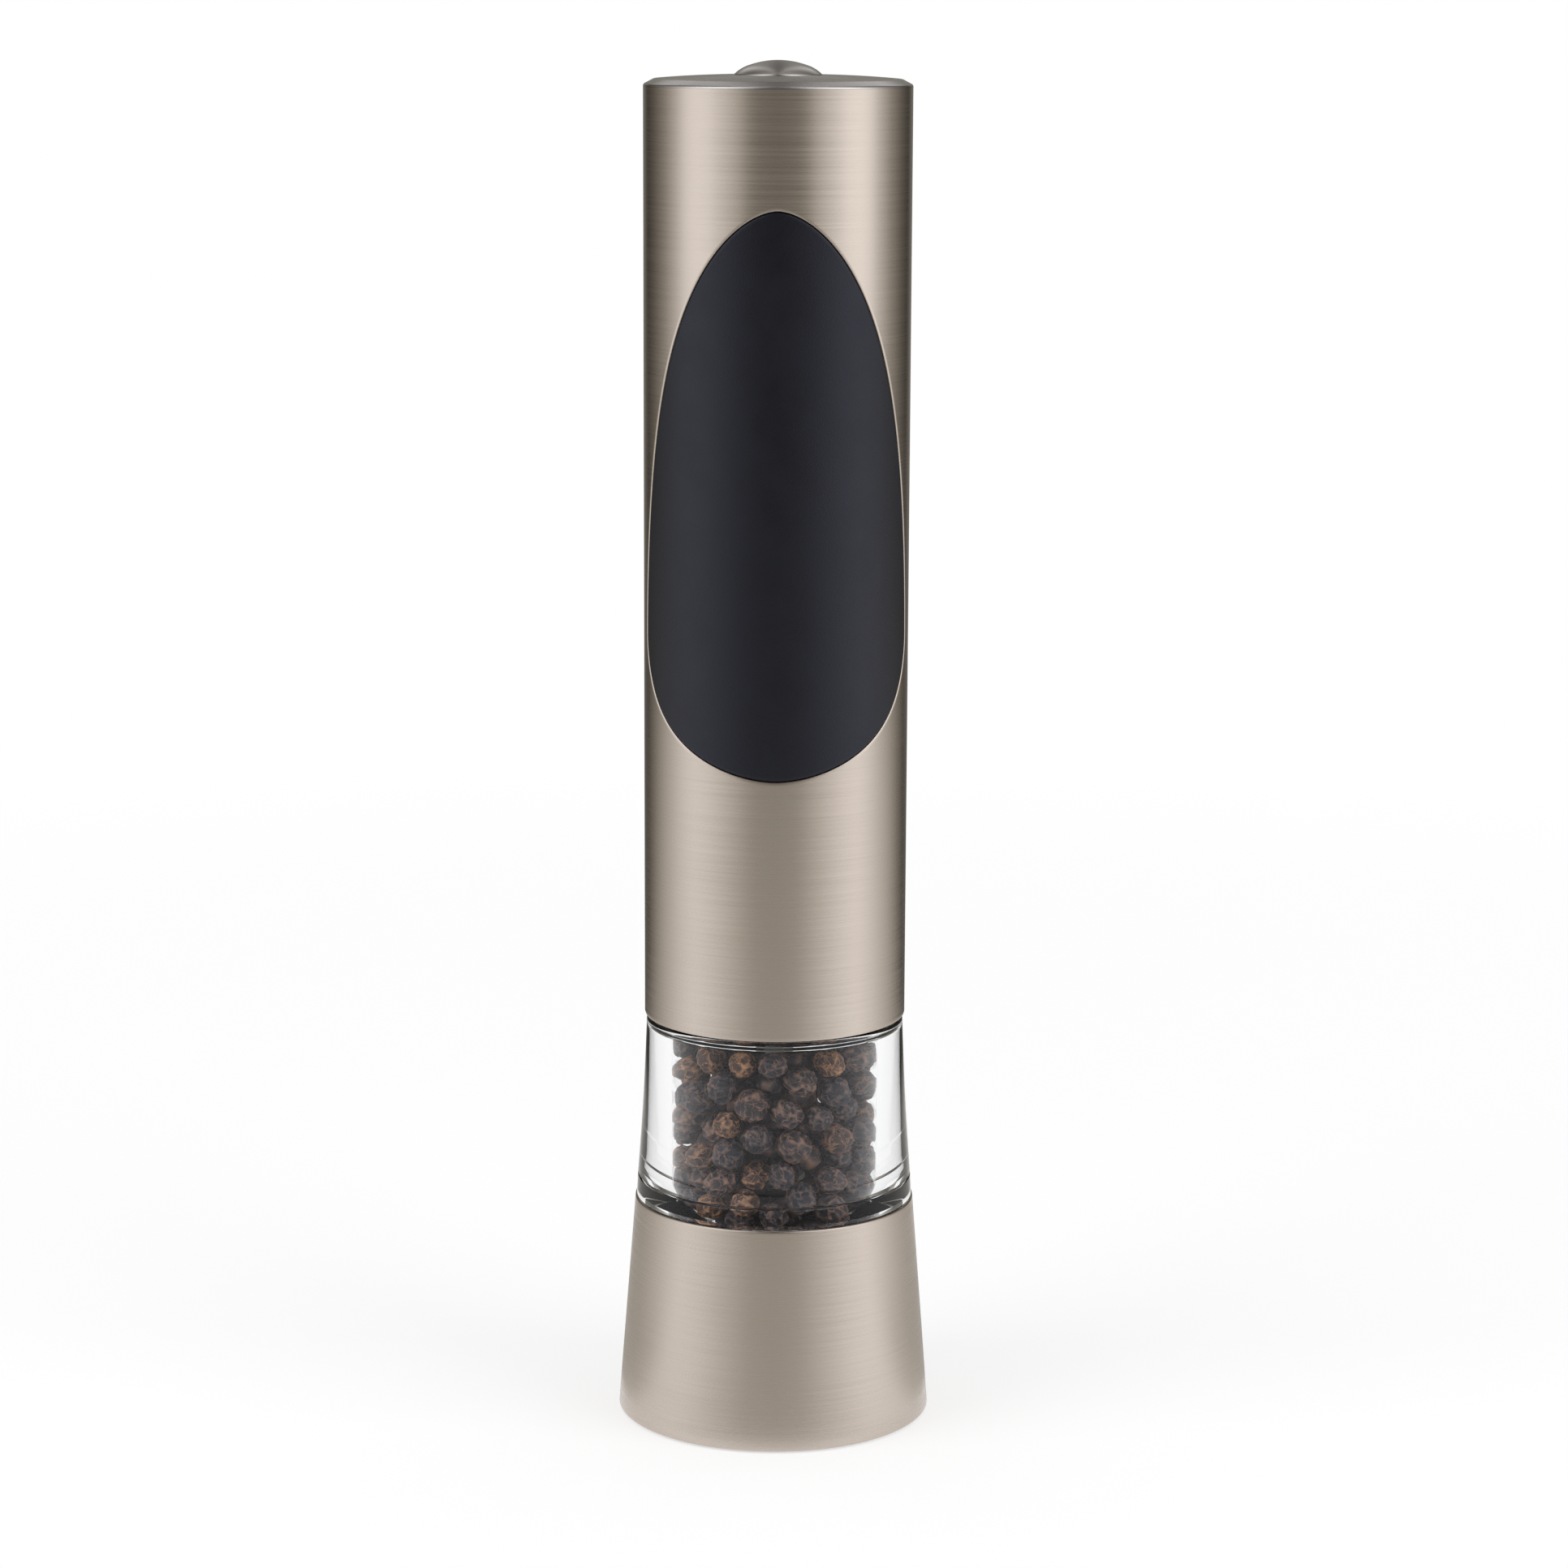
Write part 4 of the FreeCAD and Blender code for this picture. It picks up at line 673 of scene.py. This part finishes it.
def build_grip():
    inner = SHELL_RADIUS - STEEL_WALL
    vertices, faces = [], []
    layers = [(GRIP_GAP, inner),
              (GRIP_GAP, SHELL_RADIUS - GRIP_EDGE),
              (GRIP_GAP + GRIP_EDGE_MIDDLE[0] * GRIP_EDGE, SHELL_RADIUS - GRIP_EDGE_MIDDLE[1] * GRIP_EDGE),
              (GRIP_GAP + GRIP_EDGE, SHELL_RADIUS),
              (GRIP_GAP + GRIP_EDGE + GUARD, SHELL_RADIUS)]
    loops = []
    for inset, radius in layers:
        spots = egg_edge(True, inset) + list(reversed(egg_edge(False, inset)))[1:-1]
        loops.append(list(range(len(vertices), len(vertices) + len(spots))))
        vertices.extend(on_shell(spot, radius) for spot in spots)
    count = len(loops[0])
    for low, high in zip(loops, loops[1:]):
        for step in range(count):
            following = (step + 1) % count
            faces.append((low[step], low[following], high[following], high[step]))
    for loop in (loops[0], loops[-1]):
        for step in range(EDGE_STEPS):
            upper = (loop[step], loop[step + 1])
            lower = (loop[(count - step - 1) % count], loop[(count - step) % count])
            faces.append(list(dict.fromkeys((*upper, *lower))))
    grip = add_object("grip_panel_formed", vertices, faces)
    merge(grip)
    place(grip, "shell", "grip_black", looks["grip_black"], "grip_panel")


# Cap and button

def dome_spot(step):
    """A place on the dome's round top, from its edge to the axis."""
    radius = DOME_EDGE * (1 - step / DOME_STEPS)
    return radius, DOME_CENTRE + math.sqrt(DOME_RADIUS ** 2 - radius ** 2)


def build_top():
    inner_edge = [(BUTTON_HOLE, 212.3), (BUTTON_HOLE, 211.98)]
    skirt = [(18.9, 210.9), (18.9, CAP_LOW), (19.78, CAP_LOW), (19.78, CAP_SEAT)]
    chamfer = [(SHELL_RADIUS, CAP_SEAT), (20.69, 211.16), (20.62, 211.3), (20.5, 211.42), (20.35, 211.498),
               (19.2, 212.094), (19.08, 212.14), (18.95, 212.165)]
    crown = bow((18.8, 212.18), (7.6, 212.75), 0.1, 16) + [(7.38, 212.68), (7.24, 212.52)]
    cap = lathe("top_cap_turned", inner_edge + skirt + chamfer + crown)
    place(cap, "shell", "cap_steel", looks["cap_steel"], "top_cap")
    foot = [(6.2, 208.42), (6.95, 208.42), (BUTTON_RADIUS, 208.5), (BUTTON_RADIUS, 212.0), (6.97, 212.3),
            (6.9, 212.54)]
    shoulder = bow((6.8, 212.78), (DOME_EDGE, 214.2), 0.16, 10)
    top = [dome_spot(step) for step in range(1, DOME_STEPS + 1)]
    hollow = [(0.0, 211.6), (6.2, 211.6)]
    dome = lathe("button_dome_turned", foot + shoulder + top + hollow, DOME_ROUND)
    place(dome, "button", "button_steel", looks["button_steel"], "button_dome")


# Springs wound from round wire

SPRING_WIRE = 0.35
WIRE_SIDES = 14
WIRE_SMOOTH_ANGLE = 60
STEPS_A_TURN = 48


def build_spring(node, body, radius, low, high, turns):
    """A coil of round wire between two levels."""
    climb = (high - low - 2 * SPRING_WIRE) / (2 * math.pi * turns)
    steps = STEPS_A_TURN * turns
    vertices, faces = [], []
    for step in range(steps + 1):
        angle = 2 * math.pi * turns * step / steps
        outward = Vector((math.cos(angle), math.sin(angle), 0))
        along = Vector((-radius * math.sin(angle), radius * math.cos(angle), climb)).normalized()
        across = along.cross(outward)
        centre = outward * radius + Vector((0, 0, low + SPRING_WIRE + climb * angle))
        for side in range(WIRE_SIDES):
            turn = 2 * math.pi * side / WIRE_SIDES
            away = outward * math.cos(turn) + across * math.sin(turn)
            vertices.append(centre + away * SPRING_WIRE)
    for step in range(steps):
        for side in range(WIRE_SIDES):
            here = step * WIRE_SIDES + side
            beside = step * WIRE_SIDES + (side + 1) % WIRE_SIDES
            faces.append((here, beside, beside + WIRE_SIDES, here + WIRE_SIDES))
    faces.append(tuple(reversed(range(WIRE_SIDES))))
    faces.append(tuple(range(steps * WIRE_SIDES, (steps + 1) * WIRE_SIDES)))
    coil = add_object(node + "_wound", vertices, faces, WIRE_SMOOTH_ANGLE)
    place(coil, body, "spring_steel", looks["spring_steel"], node)
    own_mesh(coil)


build_base()
build_chamber()
build_corns()
build_shell()
build_grip()
build_top()
build_spring("button_spring", "shell", radius=5.4, low=202.65, high=206.85, turns=2)
build_spring("cone_spring", "grinder_shaft", radius=3.7, low=26.1, high=37.7, turns=5)


# Stage, light and camera

def seen_by_view(nodes, links):
    """One for camera, glossy and transmission rays."""
    path = nodes.new("ShaderNodeLightPath")
    first = nodes.new("ShaderNodeMath")
    first.operation = "MAXIMUM"
    links.new(path.outputs["Is Camera Ray"], first.inputs[0])
    links.new(path.outputs["Is Glossy Ray"], first.inputs[1])
    second = nodes.new("ShaderNodeMath")
    second.operation = "MAXIMUM"
    links.new(first.outputs["Value"], second.inputs[0])
    links.new(path.outputs["Is Transmission Ray"], second.inputs[1])
    return second.outputs["Value"]


FLOOR_REACH = 6.0
FLOOR_FADE = (0.1, 0.55)
FLOOR_NEAR_GLOW = 0.6
FLOOR_NEAR_ALBEDO = 0.45


def floor_material():
    """A pale floor that takes the object's shadow close by and fades to the white of the background."""
    material, nodes, links, output = bare_material("floor")
    length = nodes.new("ShaderNodeVectorMath")
    length.operation = "LENGTH"
    links.new(mapped(nodes, links, (1, 1, 1)), length.inputs[0])
    distance = length.outputs["Value"]
    diffuse = nodes.new("ShaderNodeBsdfDiffuse")
    links.new(ranged(nodes, links, distance, FLOOR_NEAR_ALBEDO, 0.0, FLOOR_FADE), diffuse.inputs["Color"])
    glow = nodes.new("ShaderNodeEmission")
    level = nodes.new("ShaderNodeMath")
    level.operation = "MULTIPLY"
    links.new(seen_by_view(nodes, links), level.inputs[0])
    links.new(ranged(nodes, links, distance, FLOOR_NEAR_GLOW, 1.0, FLOOR_FADE), level.inputs[1])
    links.new(level.outputs["Value"], glow.inputs["Strength"])
    both = nodes.new("ShaderNodeAddShader")
    links.new(diffuse.outputs["BSDF"], both.inputs[0])
    links.new(glow.outputs["Emission"], both.inputs[1])
    links.new(both.outputs["Shader"], output.inputs["Surface"])
    return material


# Levels of the cards by bearing from the front: bearing, near floor, far floor, low wall, roof
CARD_STOPS = [(0, 0.54, 0.54, 0.47, 0.12), (17, 0.58, 0.57, 0.48, 0.16), (35, 0.76, 0.70, 0.62, 1.10),
              (53, 0.98, 0.90, 0.84, 2.00), (74, 1.02, 1.12, 1.04, 2.00), (92, 0.66, 0.96, 0.90, 0.90),
              (110, 0.54, 0.72, 0.64, 0.35), (128, 0.50, 0.58, 0.30, 0.12), (144, 0.50, 0.56, 0.09, 0.15),
              (160, 0.70, 0.75, 0.11, 0.95), (172, 0.90, 0.95, 0.25, 0.28), (180, 0.95, 1.00, 0.35, 0.20)]
# Levels of the high wall by bearing from the front: bearing, level
HIGH_WALL_STOPS = [(0, 0.18), (17, 0.21), (23, 0.26), (31, 0.50), (35, 0.60), (51, 0.94), (60, 1.18),
                   (74, 1.28), (84, 1.13), (94, 0.72), (110, 0.34), (128, 0.14), (144, 0.05), (160, 0.20),
                   (172, 0.25)]
CARD_SIDE = 0.05
CARD_STEP = 4
CARD_WARM_RED = 0.06
CARD_WARM_BLUE = 0.14
CARD_LIFT = 0.0008
CARD_RADIUS = 0.35
FRONT_ARC = 164
# Rows of each card: distance from the axis and height in metres, and shares of the five levels,
# which are near floor, far floor, low wall, high wall and roof
FLOOR_ROWS = [(0.03, CARD_LIFT, (1, 0, 0, 0, 0)), (0.08, CARD_LIFT, (1, 0, 0, 0, 0)),
              (0.13, CARD_LIFT, (0, 1, 0, 0, 0)), (0.2, CARD_LIFT, (0, 1, 0, 0, 0)),
              (0.24, CARD_LIFT, (0, 0, 1, 0, 0)), (0.345, CARD_LIFT, (0, 0, 1, 0, 0))]
WALL_ROWS = [(CARD_RADIUS, 0.0, (0, 0, 1, 0, 0)), (CARD_RADIUS, 0.04, (0, 0, 1, 0, 0)),
             (CARD_RADIUS, 0.12, (0, 0, 0, 1, 0)), (CARD_RADIUS, 0.32, (0, 0, 0, 1, 0))]
ROOF_ROWS = [(CARD_RADIUS, 0.32, (0, 0, 0, 1, 0)), (0.32, 0.40, (0, 0, 0, 0, 1)),
             (0.16, 0.55, (0, 0, 0, 0, 0.7)), (0.01, 0.58, (0, 0, 0, 0, 0.5))]


def card_levels(bearings):
    """The five levels at each bearing, a little higher on the right."""
    turned = np.abs((bearings + 180) % 360 - 180)
    known, *columns = zip(*CARD_STOPS)
    near_floor, far_floor, low_wall, roof = [np.interp(turned, known, column) for column in columns]
    high_wall = np.interp(turned, *zip(*HIGH_WALL_STOPS))
    side = 1 + CARD_SIDE * np.sin(np.radians(bearings))
    return [side * level for level in (near_floor, far_floor, low_wall, high_wall, roof)]


def card_material(name):
    """Gives off the colours that the mesh carries."""
    material, nodes, links, output = bare_material(name)
    glow = nodes.new("ShaderNodeEmission")
    colour = nodes.new("ShaderNodeAttribute")
    colour.attribute_name = "glow"
    links.new(colour.outputs["Color"], glow.inputs["Color"])
    links.new(glow.outputs["Emission"], output.inputs["Surface"])
    return material


def add_cards(name, rows, first_bearing, last_bearing, through):
    """Soft grey cards round the mill, seen only in reflections and, where asked, through the plastic."""
    bearings = np.arange(first_bearing, last_bearing + 1, CARD_STEP)
    levels = card_levels(bearings)
    vertices, faces, glows = [], [], []
    for distance, height, shares in rows:
        row_levels = sum(share * level for share, level in zip(shares, levels))
        for bearing, glow in zip(np.radians(bearings), row_levels):
            vertices.append((distance * math.sin(bearing), -distance * math.cos(bearing), height))
            warmth = max(0.0, 1 - glow) * (1 - shares[-1])
            red = glow * (1 + CARD_WARM_RED * warmth)
            blue = glow * (1 - CARD_WARM_BLUE * warmth)
            glows.append((red, glow, blue, 1))
    count = len(bearings)
    for row in range(len(rows) - 1):
        for step in range(count - 1):
            first = row * count + step
            faces.append((first, first + 1, first + count + 1, first + count))
    mesh = bpy.data.meshes.new(name)
    mesh.from_pydata(vertices, [], faces)
    layer = mesh.attributes.new("glow", "FLOAT_COLOR", "POINT")
    layer.data.foreach_set("color", np.array(glows, np.float32).ravel())
    cards = bpy.data.objects.new(name, mesh)
    bpy.context.scene.collection.objects.link(cards)
    mesh.materials.append(card_material(name))
    cards.visible_camera = False
    cards.visible_diffuse = False
    cards.visible_shadow = False
    cards.visible_transmission = through


def add_lamp(name, position, target, width, height, power):
    lamp = bpy.data.lights.new(name, "AREA")
    lamp.shape = "RECTANGLE"
    lamp.size = width
    lamp.size_y = height
    lamp.energy = power
    made = bpy.data.objects.new(name, lamp)
    made.location = position
    way = Vector(target) - Vector(position)
    made.rotation_euler = way.to_track_quat("-Z", "Y").to_euler()
    bpy.context.scene.collection.objects.link(made)
    made.visible_glossy = False


# Lamps: name, place, width and height in metres, power in watts
LAMPS = [("left_lamp", (-0.9, -0.5, 0.75), 0.8, 1.0, 5.0),
         ("right_lamp", (0.9, -0.55, 0.75), 0.8, 1.0, 5.0),
         ("top_lamp", (0.0, 0.1, 1.3), 0.9, 0.9, 3.0)]
LAMP_TARGET = (0, 0, 0.1)
WORLD_LIGHT = 0.45
WORLD_SEEN = 1.0


def build_floor():
    mesh = bpy.data.meshes.new("floor")
    corners = [(-1, -1), (1, -1), (1, 1), (-1, 1)]
    mesh.from_pydata([(x * FLOOR_REACH, y * FLOOR_REACH, 0) for x, y in corners], [], [(0, 1, 2, 3)])
    floor = bpy.data.objects.new("floor", mesh)
    bpy.context.scene.collection.objects.link(floor)
    mesh.materials.append(floor_material())


def build_light():
    add_cards("floor_cards", FLOOR_ROWS, -180, 180, through=False)
    add_cards("wall_cards", WALL_ROWS, -FRONT_ARC, FRONT_ARC, through=True)
    add_cards("back_cards", WALL_ROWS, FRONT_ARC, 360 - FRONT_ARC, through=False)
    add_cards("roof_cards", ROOF_ROWS, -180, 180, through=False)
    for name, spot, width, height, power in LAMPS:
        add_lamp(name, spot, LAMP_TARGET, width, height, power)


def build_world():
    world = bpy.data.worlds.new("studio")
    world.use_nodes = True
    nodes, links = world.node_tree.nodes, world.node_tree.links
    background = nodes["Background"]
    background.inputs["Color"].default_value = (1, 1, 1, 1)
    level = nodes.new("ShaderNodeMapRange")
    level.inputs["To Min"].default_value = WORLD_LIGHT
    level.inputs["To Max"].default_value = WORLD_SEEN
    links.new(seen_by_view(nodes, links), level.inputs["Value"])
    links.new(level.outputs["Result"], background.inputs["Strength"])
    bpy.context.scene.world = world


CAMERA_DISTANCE = 0.6423
CAMERA_HEIGHT = 0.2273
CAMERA_PITCH = 11.02
CAMERA_YAW = -0.1196
CAMERA_ROLL = 0.243
CAMERA_LENS = 95.05
CAMERA_SENSOR = 36
CAMERA_NEAR = 0.01


def build_camera():
    data = bpy.data.cameras.new("camera")
    data.lens = CAMERA_LENS
    data.sensor_width = CAMERA_SENSOR
    data.clip_start = CAMERA_NEAR
    camera = bpy.data.objects.new("camera", data)
    tilt = Matrix.Rotation(math.radians(90 - CAMERA_PITCH), 4, "X")
    yaw = Matrix.Rotation(math.radians(CAMERA_YAW), 4, "Z")
    roll = Matrix.Rotation(math.radians(CAMERA_ROLL), 4, "Z")
    spot = Matrix.Translation((0, -CAMERA_DISTANCE, CAMERA_HEIGHT))
    camera.matrix_world = spot @ yaw @ tilt @ roll
    bpy.context.scene.collection.objects.link(camera)
    bpy.context.scene.camera = camera


build_floor()
build_light()
build_world()
build_camera()
bpy.context.scene.view_settings.view_transform = "Standard"
